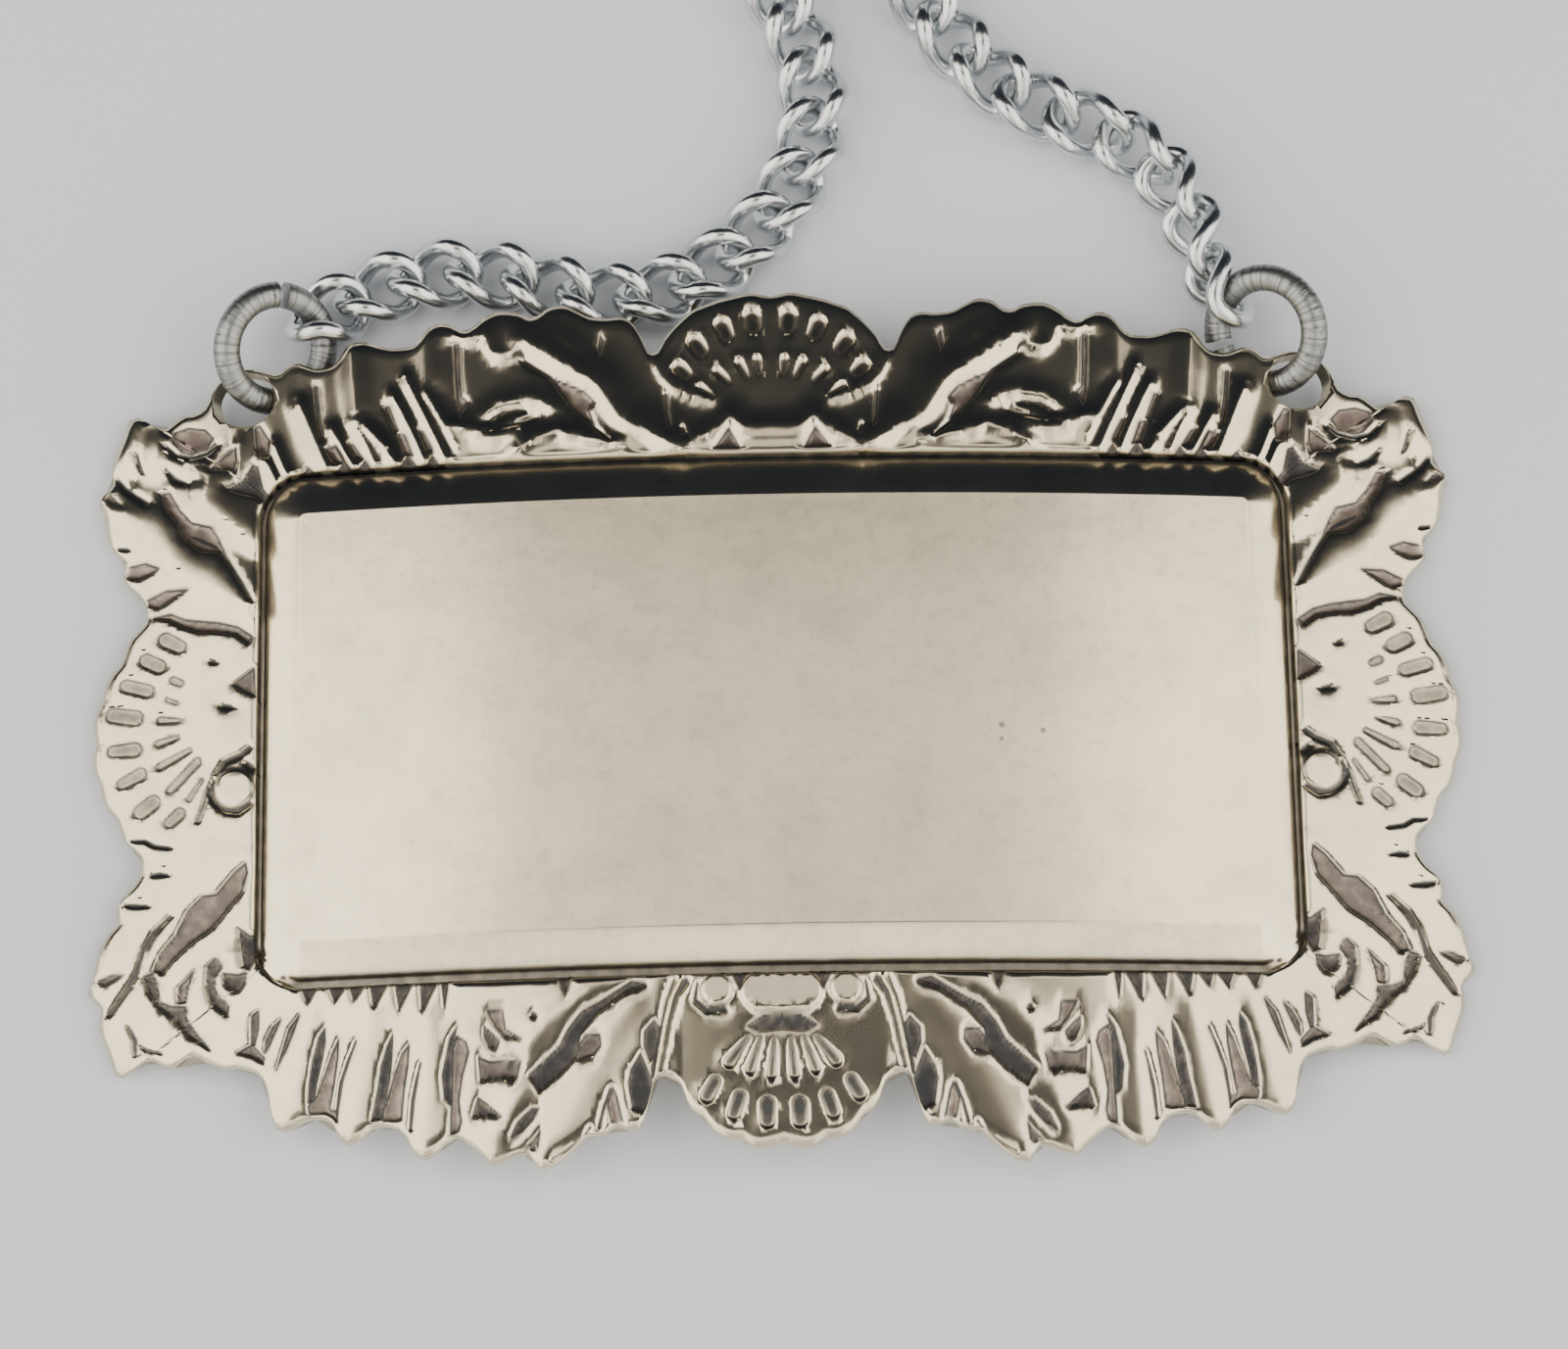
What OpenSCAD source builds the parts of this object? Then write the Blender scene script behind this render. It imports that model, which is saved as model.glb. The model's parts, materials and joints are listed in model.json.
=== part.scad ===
// Silver wine label: one die-struck sheet with a raised panel in a border of shells, leaves and
// gadroons, two split jump rings in punched holes, and a curb chain that goes over a bottle neck.
// Millimetres, +Z up. The label lies face up on the plane z = 0, with the chain above its top edge.

/* [Label sheet] */
// Width of the label, over the side shells
label_w = 55; // [44:0.5:70]
// Height of the label, over the leaf tips beside the shells
label_h = 36.5; // [30:0.5:48]
// Thickness of the struck sheet
sheet_t = 0.55; // [0.5:0.05:0.7]
// Rise of the label's middle above its ends, bent to lie against a bottle
bow = 3; // [2.4:0.1:4]

/* [Panel] */
// Width of the raised panel at its foot
panel_w = 41.5; // [34:0.5:52]
// Height of the raised panel at its foot
panel_h = 21; // [16:0.5:27]
// Corner radius of the panel at its foot
panel_r = 1.8; // [1.7:0.1:3]
// Rise of the panel above the groove round it
panel_rise = 0.9; // [0.7:0.1:1.6]
// Width of the sloped edge of the panel
bevel_w = 1.5; // [1:0.1:1.6]
// Width of the groove between the panel and the border
groove_w = 0.3; // [0.2:0.05:0.6]

/* [Border] */
// Height of the border's crest over the groove
crest_rise = 0.5; // [0.3:0.05:1]
// Depth of the hollows between the flutes of the border
flute_depth = 0.35; // [0.15:0.05:0.6]
// Height of the outer rim over the groove
rim_rise = 0.1; // [0:0.05:0.4]

/* [Jump rings] */
// Diameter of the ring's wire
ring_wire = 1.1; // [0.9:0.05:1.3]
// Outer diameter of a ring
ring_d = 5.5; // [5:0.1:6.5]
// Diameter of the punched holes for the rings
hole_d = 2.4; // [2.3:0.05:2.6]
// Opening between the two ends of a ring
ring_split = 0.35; // [0.15:0.05:0.5]
// Lean of a ring's plane from the lie of the label, in degrees
ring_lean = 40; // [34:1:42]
// Rise of a ring's middle over its hole, in degrees
ring_lift = 8; // [6:1:12]

/* [Chain] */
// Diameter of the chain wire
link_wire = 0.76; // [0.66:0.02:0.84]
// Outer length of a link
link_len = 4.1; // [3.9:0.05:4.6]
// Outer width of a link
link_wid = 3.1; // [2.95:0.05:3.4]
// Twist of each end of a link out of its middle plane, in degrees
link_twist = 45; // [35:1:50]
// Play between two links that are pulled taut
link_play = 0.2; // [0.14:0.01:0.3]

/* [Hidden] */

// The outline of one quarter from the bottom shell's middle to the side shell's middle, as
// [across, up, flute]: flute is 1 on a ridge that ends in a tip and 0 in a hollow. The points are
// read for a label of this width and height and stretch with it.
drawn_w = 55;
drawn_h = 36.5;
shell_edge = [[0, 17.3, 0.2], [0.5, 17.5, 0.8], [0.95, 17.55, 1], [1.35, 17.4, 0.7], [1.6, 17.2, 0],
    [2.0, 17.2, 0.9], [2.4, 17.05, 1], [2.85, 16.75, 0.6], [3.1, 16.3, 0], [3.5, 16.1, 0.8],
    [3.8, 15.65, 0.9], [3.95, 15.15, 0.4]];
leaf_edge = [[4.25, 14.8, 0.1], [4.65, 14.65, 0], [5.0, 14.85, 0.2], [5.2, 15.6, 0.6], [5.45, 16.4, 0.9],
    [5.75, 16.8, 1], [6.15, 16.75, 0.7], [6.55, 16.6, 0.1], [6.85, 16.85, 0.7], [7.2, 17.0, 1],
    [7.55, 16.95, 0.3], [7.95, 17.3, 0.7], [8.5, 17.75, 0.8], [9.0, 18.1, 0.9], [9.45, 18.25, 1],
    [9.75, 17.95, 0.6], [9.95, 17.6, 0], [10.4, 17.65, 0.4], [10.9, 17.85, 0.8], [11.4, 17.95, 1],
    [11.8, 17.6, 0.7], [12.25, 17.2, 0.4]];
gadroon_edge = [[12.75, 16.85, 0], [13.2, 17.05, 0.3], [13.6, 17.45, 0.9], [14.05, 17.65, 1],
    [14.5, 17.4, 0.9], [14.8, 16.75, 0.4], [15.2, 16.4, 0], [15.7, 16.3, 0], [16.15, 16.4, 0.3],
    [16.5, 16.75, 0.9], [17.0, 16.95, 1], [17.45, 16.65, 0.9], [17.7, 16.1, 0.3], [18.1, 15.9, 0],
    [18.6, 15.9, 0], [18.95, 16.05, 0.4], [19.3, 16.25, 0.9], [19.7, 16.3, 1], [20.05, 16.0, 0.8]];
corner_edge = [[20.2, 15.3, 0.4], [20.35, 14.5, 0.1], [20.75, 13.95, 0.1], [21.3, 13.75, 0.4],
    [21.9, 13.75, 0.6], [22.6, 13.5, 0.4], [23.3, 13.1, 0], [23.75, 13.35, 0.6], [24.15, 13.6, 1],
    [24.6, 13.4, 0.5], [25.05, 13.15, 0], [25.5, 13.5, 0.6], [25.95, 13.85, 1], [26.4, 13.75, 0.8],
    [26.65, 13.0, 0.4], [26.9, 12.4, 0.3], [27.1, 11.8, 0.6], [27.0, 11.0, 0.2], [27.3, 10.7, 0.6],
    [27.6, 10.4, 1], [27.4, 9.8, 0.6], [27.3, 9.2, 0.7], [27.1, 8.5, 0.7], [26.8, 8.0, 0.4]];
// The top corners stand out further, because they hold the holes for the rings.
hole_corner_edge = [[20.25, 15.2, 1], [20.55, 15.3, 0.95], [20.95, 15.45, 0.7], [21.45, 15.55, 0.4],
    [22.0, 15.45, 0.3], [22.6, 15.05, 0.2], [23.0, 14.5, 0.1], [23.3, 13.9, 0.2], [23.75, 13.7, 0.6],
    [24.2, 13.7, 1], [24.6, 13.4, 0.5], [25.05, 13.15, 0], [25.5, 13.5, 0.6], [25.95, 13.85, 1],
    [26.4, 13.75, 0.8], [26.65, 13.0, 0.4], [26.9, 12.4, 0.3], [27.1, 11.8, 0.6], [27.0, 11.0, 0.2],
    [27.3, 10.7, 0.6], [27.6, 10.4, 1], [27.4, 9.8, 0.6], [27.3, 9.2, 0.7], [27.1, 8.5, 0.7],
    [26.8, 8.0, 0.4]];
side_edge = [[26.4, 7.6, 0], [26.5, 7.0, 0.5], [26.3, 6.6, 0.4], [25.8, 6.1, 0.3], [25.5, 5.5, 0],
    [25.5, 5.0, 0.1], [25.8, 4.6, 0.4], [26.2, 4.2, 0.9], [26.4, 3.7, 0.8], [26.6, 3.15, 0],
    [26.95, 2.8, 0.8], [27.2, 2.2, 0.9], [27.3, 1.7, 0], [27.5, 1.3, 0.8], [27.6, 0.8, 1],
    [27.55, 0.35, 0.6]];
side_middle = [[27.45, 0, 0]];

function backwards(v) = [for (i = [len(v) - 1:-1:0]) v[i]];
function without_first(v) = [for (i = [1:len(v) - 1]) v[i]];
function turned(v, sx, sy) = [for (p = v) [sx * p[0] * label_w / drawn_w, sy * p[1] * label_h / drawn_h, p[2]]];

low_quarter = concat(shell_edge, leaf_edge, gadroon_edge, corner_edge, side_edge);
// The gadroons beside the holes are cut shorter towards the corner, to clear the rings.
short_gadroons = [for (p = gadroon_edge) [p[0], p[1] - 0.09 * (p[0] - gadroon_edge[0][0]), p[2]]];
top_quarter = concat(shell_edge, leaf_edge, short_gadroons, hole_corner_edge, side_edge);
// Counter-clockwise from the bottom middle.
outline = concat(turned(low_quarter, 1, -1), turned(side_middle, 1, 1),
    turned(backwards(without_first(top_quarter)), 1, 1), turned(top_quarter, -1, 1),
    turned(side_middle, -1, 1), turned(backwards(without_first(low_quarter)), -1, -1));
around = len(outline);

// Bend of the label, as a height over the plane it lies on.
function bend(x) = bow * (1 - pow(x / (label_w / 2), 2));
// Each outline point has a ray that starts at the nearest point of the panel's inner rectangle.
core_x = panel_w / 2 - panel_r;
core_y = panel_h / 2 - panel_r;
function foot(p) = [max(-core_x, min(core_x, p[0])), max(-core_y, min(core_y, p[1]))];
function on_ray(p, reach) = let(c = foot(p), d = [p[0], p[1]] - c) c + d * reach / norm(d);
function reach_of(p) = norm([p[0], p[1]] - foot(p));
border_in = panel_r + groove_w;
function across_border(p, t) = on_ray(p, border_in + (reach_of(p) - border_in) * t);

// The rows across the border, as [share of the way to the rim, share of the crest, share of the flutes].
border_rows = [[0.8, 0.64, 0.5], [0.5, 0.78, 0.7], [0.2, 0.95, 0.25], [0.1, 1, 0]];
function crest_height(p, row) = rim_rise + crest_rise * row[1] - flute_depth * (1 - p[2]) * row[2];
function lifted(q, h) = [q[0], q[1], bend(q[0]) + h];
// The rows of the front, from the rim to the panel.
function front_row(k) = [for (p = outline)
    k == 0 ? lifted(across_border(p, 1), rim_rise + 0.25 * p[2] * flute_depth) :
    k < 5 ? lifted(across_border(p, border_rows[k - 1][0]), crest_height(p, border_rows[k - 1])) :
    k == 5 ? lifted(on_ray(p, border_in), 0) :
    k == 6 ? lifted(on_ray(p, panel_r), 0) :
    k == 7 ? lifted(on_ray(p, panel_r - 0.06 * bevel_w), 0.28 * panel_rise) :
    k == 8 ? lifted(on_ray(p, panel_r - 0.5 * bevel_w), 0.8 * panel_rise) :
    k == 9 ? lifted(on_ray(p, panel_r - bevel_w), panel_rise) :
        lifted(on_ray(p, panel_r - bevel_w) * 0.55, panel_rise + 0.08)];
front_kept = [0, 1, 2, 3, 4, 5, 6, 7, 8, 9, 10];
back_kept = [0, 2, 4, 5, 9, 10];
// The back follows the front at the sheet's thickness. The lowest point of the rim is put at z = 0.
down = min([for (p = front_row(0)) p[2]]) - sheet_t;
front_rows = [for (k = front_kept) [for (p = front_row(k)) p - [0, 0, down]]];
back_rows = [for (k = back_kept) [for (p = front_row(k)) p - [0, 0, down + sheet_t]]];
panel_top = bow + panel_rise + 0.1 - down;
sheet_points = concat([for (r = front_rows) each r], [for (r = back_rows) each r],
    [[0, 0, panel_top], [0, 0, panel_top - sheet_t]]);

function strip(a, b) = [for (i = [0:around - 1]) let(j = (i + 1) % around)
    each [[a + i, b + i, b + j], [a + i, b + j, a + j]]];
function fan(a, middle) = [for (i = [0:around - 1]) [a + i, middle, a + (i + 1) % around]];
function flipped(faces) = [for (f = faces) [f[0], f[2], f[1]]];
fronts = len(front_kept);
backs = len(back_kept);
sheet_faces = concat(
    [for (k = [0:fronts - 2]) each flipped(flipped(strip(k * around, (k + 1) * around)))],
    fan((fronts - 1) * around, (fronts + backs) * around),
    [for (k = [0:backs - 2]) each flipped(strip((fronts + k) * around, (fronts + k + 1) * around))],
    flipped(fan((fronts + backs - 1) * around, (fronts + backs) * around + 1)),
    flipped(strip(0, fronts * around)));

// The rings. Each passes through its hole and goes round the edge of the sheet beside it.
hole_x = 21.5 * label_w / drawn_w;
hole_y = 14.15 * label_h / drawn_h;
ring_r = (ring_d - ring_wire) / 2;
// Direction in the picture from the left hole to the middle of its ring.
ring_way = 62;
function unit(v) = v / norm(v);
// The middle of the sheet at the hole.
hole_z = bend(hole_x) - down + crest_height([0, 0, 0.4], border_rows[0]) - sheet_t / 2;
function hole_at(side) = [side * hole_x, hole_y, hole_z];
// A ring's plane holds the way to its middle and the way its wire takes through the hole.
function to_middle(side) = [-side * cos(ring_way) * cos(ring_lift), sin(ring_way) * cos(ring_lift),
    sin(ring_lift)];
function through(side) = let(e = [side * sin(ring_way), cos(ring_way), 0],
    w = e * cos(ring_lean) + [0, 0, 1] * sin(ring_lean), u = to_middle(side)) unit(w - u * (w * u));
// The way of the hole itself, which leans half as far.
function hole_way(side) = unit(through(side) + [0, 0, 0.5]);
// The wire is drawn to the side of the hole that is nearer to the chain.
ring_shift = (hole_d - ring_wire) / 4;
function ring_middle(side) = hole_at(side) + to_middle(side) * (ring_r + ring_shift);
function ring_axis(side) = cross(to_middle(side), through(side)) * -side;

// The chain. A link's end is a half circle, its sides are straight, and its ends are twisted apart.
link_r = link_wire / 2;
half_len = (link_len - link_wire) / 2;
bow_r = (link_wid - link_wire) / 2;
pitch = 2 * half_len - link_wire - link_play;

// Places round a link's middle line, as [along, across, outward along, outward across].
function bow_place(a) = [(half_len - bow_r) + bow_r * cos(a), bow_r * sin(a), cos(a), sin(a)];
link_half = concat([for (a = [-90:30:90]) bow_place(a)], [[0, bow_r, 0, 1]]);
link_line = concat(link_half, [for (p = link_half) [-p[0], -p[1], -p[2], -p[3]]]);
function twist_at(x) = link_twist * sin(90 * max(-1, min(1, x / (0.75 * half_len))));
function twisted(x, y) = [x, y * cos(twist_at(x)), y * sin(twist_at(x))];
link_stops = len(link_line);
link_sides = 6;
function stop_point(i) = let(p = link_line[i % link_stops]) twisted(p[0], p[1]);
function stop_ring(i) = let(p = link_line[i],
    t = unit(stop_point(i + 1) - stop_point(i + link_stops - 1)),
    o = twisted(p[0], p[3]) - [p[0] - p[2], 0, 0], b = unit(cross(t, o)), n = cross(b, t))
    [for (s = [0:link_sides - 1]) stop_point(i)
        + link_r * (cos(360 * s / link_sides) * n + sin(360 * s / link_sides) * b)];
link_points = [for (i = [0:link_stops - 1]) each stop_ring(i)];
link_faces = [for (i = [0:link_stops - 1]) for (s = [0:link_sides - 1])
    let(a = i * link_sides, b = ((i + 1) % link_stops) * link_sides, n = (s + 1) % link_sides)
    each [[a + s, b + s, b + n], [a + s, b + n, a + n]]];

// The lie of the chain, as the way of each link in the picture, counted from the rings.
left_ways = [34, 22, 8, -8, -18, -6, 16, 32, 46, 60, 76, 95, 108,
    115, 125, 130, 125, 115, 100, 82, 64, 46, 28, 10];
right_ways = [116, 104, 118, 140, 158, 150, 136, 126, 114, 98, 82, 66, 60, 72, 92, 114, 136];
// Where the first link goes round each ring, as a turn from the way to the ring's middle.
left_grip = -30;
right_grip = 22;
function grip_way(side) = side < 0 ? left_grip : right_grip;
function spun(v, axis, a) = v * cos(a) + cross(axis, v) * sin(a) + axis * (axis * v) * (1 - cos(a));
function grip_out(side) = spun(to_middle(side), ring_axis(side), grip_way(side));
function grip_at(side) = ring_middle(side) + grip_out(side) * ring_r;

ring_gap = ring_wire / 2 + link_r + link_play;
function flat_way(a) = [cos(a), sin(a), 0];
// Where the strands turn up, their turn follows the label's width, so that they keep the same way apart.
left_turn = -138 * (label_w / drawn_w - 1);
right_turn = 68 * (label_w / drawn_w - 1);
left_bent = [for (k = [0:len(left_ways) - 1])
    left_ways[k] + left_turn * max(0, min(1, (k - 4) / 3, (15 - k) / 3))];
right_bent = [for (k = [0:len(right_ways) - 1])
    right_ways[k] + right_turn * max(0, min(1, k / 2, (9 - k) / 2))];
function ways_of(side) = side < 0 ? left_bent : right_bent;
// A first link lies square to the ring's wire, and the roll of the next few runs out to nothing.
function level(x) = unit([-x[1], x[0], 0]);
function ring_run(side) = cross(ring_axis(side), grip_out(side));
function square_roll(side, x) = let(s = cross(ring_run(side), x),
    a = atan2(s * cross(x, level(x)), s * level(x)) + link_twist)
    a > 90 ? a - 180 : a < -90 ? a + 180 : a;
function first_roll(side) = square_roll(side, flat_way(ways_of(side)[0]));
roll_links = 6;
function fading_roll(side, k) = first_roll(side) * max(0, 1 - (k - 1) / roll_links);
// Height of the chain's middle line where a link with this roll lies on the plane.
lie_twist = 0.82 * link_twist;
function lie_height(a) = bow_r * max(abs(sin(a + lie_twist)), abs(sin(a - lie_twist))) + link_r + 0.03;
function pivot_z(side, k) = max(lie_height(fading_roll(side, k)), lie_height(fading_roll(side, k + 1)));
// The first pivot is the middle of the ring's wire. Each link then reaches its next pivot's height.
first_reach = 2 * half_len - ring_gap - (link_wire + link_play) / 2;
function next_pivot(at, way, reach, z) = let(rise = z - at[2])
    at + flat_way(way) * sqrt(reach * reach - rise * rise) + [0, 0, rise];
function pivots(side, k = 0, at = undef) = let(ways = ways_of(side))
    k == 0 ? concat([grip_at(side)],
        pivots(side, 1, next_pivot(grip_at(side), ways[0], first_reach, pivot_z(side, 1)))) :
    k == len(ways) ? [at] :
    concat([at], pivots(side, k + 1, next_pivot(at, ways[k], pitch, pivot_z(side, k + 1))));
right_pivots = pivots(1);
left_open = pivots(-1);
// The last link of the left strand reaches for the end of the right strand, with one link between.
left_tip = left_open[len(left_open) - 1];
right_tip = right_pivots[len(right_pivots) - 1];
tips = right_tip - left_tip;
closing = (left_tip + right_tip) / 2
    + unit([-tips[1], tips[0], 0]) * sqrt(max(0, pitch * pitch - tips * tips / 4));
left_pivots = concat(left_open, [closing]);
left_count = len(left_pivots) - 1;
right_count = len(right_pivots) - 1;
function pivots_of(side) = side < 0 ? left_pivots : right_pivots;

function link_way(side, k) = unit(pivots_of(side)[k] - pivots_of(side)[k - 1]);
function link_roll(side, k) = k == 1 ? square_roll(side, link_way(side, 1)) : fading_roll(side, k);
function link_middle(side, k) = k == 1 ?
    pivots_of(side)[0] + link_way(side, 1) * (half_len - ring_gap) :
    (pivots_of(side)[k] + pivots_of(side)[k - 1]) / 2;
function two(k) = str(k < 10 ? "0" : "", k);
function link_name(side, k) = str(side < 0 ? "left_link_" : "right_link_", two(k));

label_sheet();
jump_ring(-1);  // left_jump_ring
jump_ring(1);  // right_jump_ring
for (side = [-1, 1]) for (k = [1:side < 0 ? left_count : right_count])
    chain_link(side, k);

// Puts a child's x, y and z on three given directions at a place.
module set_on(x, y, z, at) {
    multmatrix([[x[0], y[0], z[0], at[0]], [x[1], y[1], z[1], at[1]], [x[2], y[2], z[2], at[2]]])
        children();
}

// The struck sheet with its panel and border, and the two holes punched through its top corners.
module label_sheet() {
    color([0.78, 0.75, 0.68]) difference() {
        polyhedron(sheet_points, sheet_faces, convexity = 6);
        for (side = [-1, 1]) {
            z = hole_way(side);
            x = unit(cross([0, 1, 0], z));
            set_on(x, cross(z, x), z, hole_at(side)) cylinder(d = hole_d, h = 8, center = true, $fn = 48);
        }
    }
}

// A ring bent from round wire, open by its split.
function split_way(side) = side < 0 ? 25 : 75;
module jump_ring(side) {
    split = 360 * ring_split / (2 * PI * ring_r);
    z = ring_axis(side);
    x = to_middle(side);
    color([0.62, 0.63, 0.62]) set_on(x, cross(z, x), z, ring_middle(side))
        rotate([0, 0, split_way(side) + split / 2]) rotate_extrude(angle = 360 - split, $fn = 64)
            translate([ring_r, 0]) circle(d = ring_wire, $fn = 32);
}

// One curb link on its two pivots.
module chain_link(side, k) {
    x = link_way(side, k);
    a = link_roll(side, k);
    y = level(x) * cos(a) + cross(x, level(x)) * sin(a);
    color([0.82, 0.84, 0.84]) set_on(x, y, cross(x, y), link_middle(side, k))
        polyhedron(link_points, link_faces, convexity = 4);
}
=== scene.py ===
"""A struck silver wine label with its two jump rings and curb chain, lying face up on a pale table."""
import json
import math
import bmesh
import bpy
import numpy as np
from mathutils import Matrix, Vector


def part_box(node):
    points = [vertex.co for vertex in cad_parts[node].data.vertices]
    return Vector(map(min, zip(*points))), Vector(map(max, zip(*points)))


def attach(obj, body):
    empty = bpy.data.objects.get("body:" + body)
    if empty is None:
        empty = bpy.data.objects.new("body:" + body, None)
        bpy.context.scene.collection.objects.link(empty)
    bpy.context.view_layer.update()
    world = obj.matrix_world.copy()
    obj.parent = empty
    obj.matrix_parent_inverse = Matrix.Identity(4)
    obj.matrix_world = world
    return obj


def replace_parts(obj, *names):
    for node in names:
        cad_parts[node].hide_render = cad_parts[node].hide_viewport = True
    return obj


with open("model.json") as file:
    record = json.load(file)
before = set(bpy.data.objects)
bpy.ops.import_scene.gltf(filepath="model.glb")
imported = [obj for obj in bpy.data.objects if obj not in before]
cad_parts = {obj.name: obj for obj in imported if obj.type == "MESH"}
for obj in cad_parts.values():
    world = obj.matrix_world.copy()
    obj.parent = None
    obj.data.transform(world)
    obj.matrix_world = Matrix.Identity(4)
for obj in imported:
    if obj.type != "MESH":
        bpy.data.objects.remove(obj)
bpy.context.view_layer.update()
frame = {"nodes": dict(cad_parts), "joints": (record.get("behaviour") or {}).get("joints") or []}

# The label sheet. One piece of sheet silver, struck between dies, so that a plain panel stands up in a
# border of shells, acanthus leaves and gadroons. It is cut out along the ornament, pierced twice at the
# top for the rings, and bent to lie against a bottle.
MM = 0.001
sheet_t = 0.55
bow = 3.0
half_w = 27.5
panel_r = 1.8
panel_core = np.array([41.5 / 2 - panel_r, 21 / 2 - panel_r])
bevel_w = 1.4
bevel_rise = 0.9

# One quarter of the cut edge, from the bottom middle to the side's middle, as (across, up) in mm.
shell_edge = [(0, 17.3), (0.5, 17.5), (0.95, 17.55), (1.35, 17.4), (1.6, 17.2), (2.0, 17.2), (2.4, 17.05),
              (2.85, 16.75), (3.1, 16.3), (3.5, 16.1), (3.8, 15.65), (3.95, 15.15)]
leaf_edge = [(4.25, 14.8), (4.65, 14.65), (5.0, 14.85), (5.2, 15.6), (5.45, 16.4), (5.75, 16.8),
             (6.15, 16.75), (6.55, 16.6), (6.85, 16.85), (7.2, 17.0), (7.55, 16.95), (7.95, 17.3),
             (8.5, 17.75), (9.0, 18.1), (9.45, 18.25), (9.75, 17.95), (9.95, 17.6), (10.4, 17.65),
             (10.9, 17.85), (11.4, 17.95), (11.8, 17.6), (12.25, 17.2)]
gadroon_edge = [(12.75, 16.85), (13.2, 17.05), (13.6, 17.45), (14.05, 17.65), (14.5, 17.4), (14.8, 16.75),
                (15.2, 16.4), (15.7, 16.3), (16.15, 16.4), (16.5, 16.75), (17.0, 16.95), (17.45, 16.65),
                (17.7, 16.1), (18.1, 15.9), (18.6, 15.9), (18.95, 16.05), (19.3, 16.25), (19.7, 16.3),
                (20.05, 16.0)]
plain_corner = [(20.2, 15.3), (20.35, 14.5), (20.75, 13.95), (21.3, 13.75), (21.9, 13.75), (22.6, 13.5),
                (23.3, 13.1), (23.75, 13.35), (24.15, 13.6)]
pierced_corner = [(20.25, 15.2), (20.55, 15.3), (20.95, 15.45), (21.45, 15.55), (22.0, 15.45), (22.6, 15.05),
                  (23.0, 14.5), (23.3, 13.9), (23.75, 13.7), (24.2, 13.7)]
corner_leaf = [(24.6, 13.4), (25.05, 13.15), (25.5, 13.5), (25.95, 13.85), (26.4, 13.75), (26.65, 13.0),
               (26.9, 12.4), (27.1, 11.8), (27.0, 11.0), (27.3, 10.7), (27.6, 10.4), (27.4, 9.8), (27.3, 9.2),
               (27.1, 8.5), (26.8, 8.0)]
side_edge = [(26.4, 7.6), (26.5, 7.0), (26.3, 6.6), (25.8, 6.1), (25.5, 5.5), (25.5, 5.0), (25.8, 4.6),
             (26.2, 4.2), (26.4, 3.7), (26.6, 3.15), (26.95, 2.8), (27.2, 2.2), (27.3, 1.7), (27.5, 1.3),
             (27.6, 0.8), (27.55, 0.35), (27.45, 0)]
top_shell = [(0, 17.75), (0.45, 17.85), (0.9, 17.92), (1.3, 17.82), (1.75, 17.72), (2.2, 17.6), (2.7, 17.4),
             (3.1, 17.25), (3.5, 16.9), (3.8, 16.6), (4.1, 16.25), (4.35, 15.9), (4.5, 15.55), (4.75, 15.3)]
top_leaf = [(5.0, 15.35), (5.2, 15.85), (5.45, 16.4), (5.75, 16.82), (6.15, 17.0), (6.65, 16.95),
            (7.35, 17.02), (7.95, 17.35), (8.55, 17.62), (9.05, 17.55), (9.5, 17.2), (9.85, 17.12),
            (10.35, 17.38), (11.1, 17.46), (11.75, 17.2), (12.25, 16.78)]
short_gadroons = [(12.6, 16.67), (13.0, 16.92), (13.5, 17.08), (14.0, 16.87), (14.3, 16.45), (14.75, 16.08),
                  (15.4, 16.05), (16.2, 16.25), (16.75, 16.45), (17.2, 16.4), (17.5, 16.1), (17.75, 15.65),
                  (18.1, 15.42), (18.6, 15.37), (18.95, 15.49), (19.3, 15.66), (19.7, 15.67), (20.05, 15.34)]
low_edge = shell_edge + leaf_edge + gadroon_edge + plain_corner + corner_leaf + side_edge
top_edge = top_shell + top_leaf + short_gadroons + pierced_corner + corner_leaf + side_edge

# Every point of the border lies on a ray from the panel's inner rectangle. The rays of a quarter are
# counted along the bottom, round the corner and up the side.
corner_turn = 4.0


def ray_place(p):
    over = np.array(p) - panel_core
    if over[0] <= 0:
        return p[0]
    if over[1] >= 0:
        return panel_core[0] + corner_turn * math.atan2(over[0], over[1])
    return panel_core[0] + corner_turn * math.pi / 2 - over[1]


def ray_line(place):
    past_bottom = place - panel_core[0]
    turn = np.clip(past_bottom / corner_turn, 0, math.pi / 2)
    past_corner = np.maximum(0, past_bottom - corner_turn * math.pi / 2)
    start = np.stack([np.minimum(place, panel_core[0]), panel_core[1] - past_corner], axis=-1)
    return start, np.stack([np.sin(turn), np.cos(turn)], axis=-1)


def smooth_line(knots, values, at):
    """Values between knots on a curve with no overshoot."""
    slope = np.diff(values) / np.diff(knots)
    before, after = slope[:-1], slope[1:]
    total = np.where(before + after == 0, 1, before + after)
    between = np.where(before * after > 0, 2 * before * after / total, 0)
    tangent = np.concatenate([slope[:1], between, slope[-1:]])
    i = np.clip(np.searchsorted(knots, at) - 1, 0, len(knots) - 2)
    step = knots[i + 1] - knots[i]
    s = (at - knots[i]) / step
    return ((1 + 2 * s) * (1 - s) ** 2 * values[i] + s * (1 - s) ** 2 * step * tangent[i]
            + s * s * (3 - 2 * s) * values[i + 1] + s * s * (s - 1) * step * tangent[i + 1])


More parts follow.
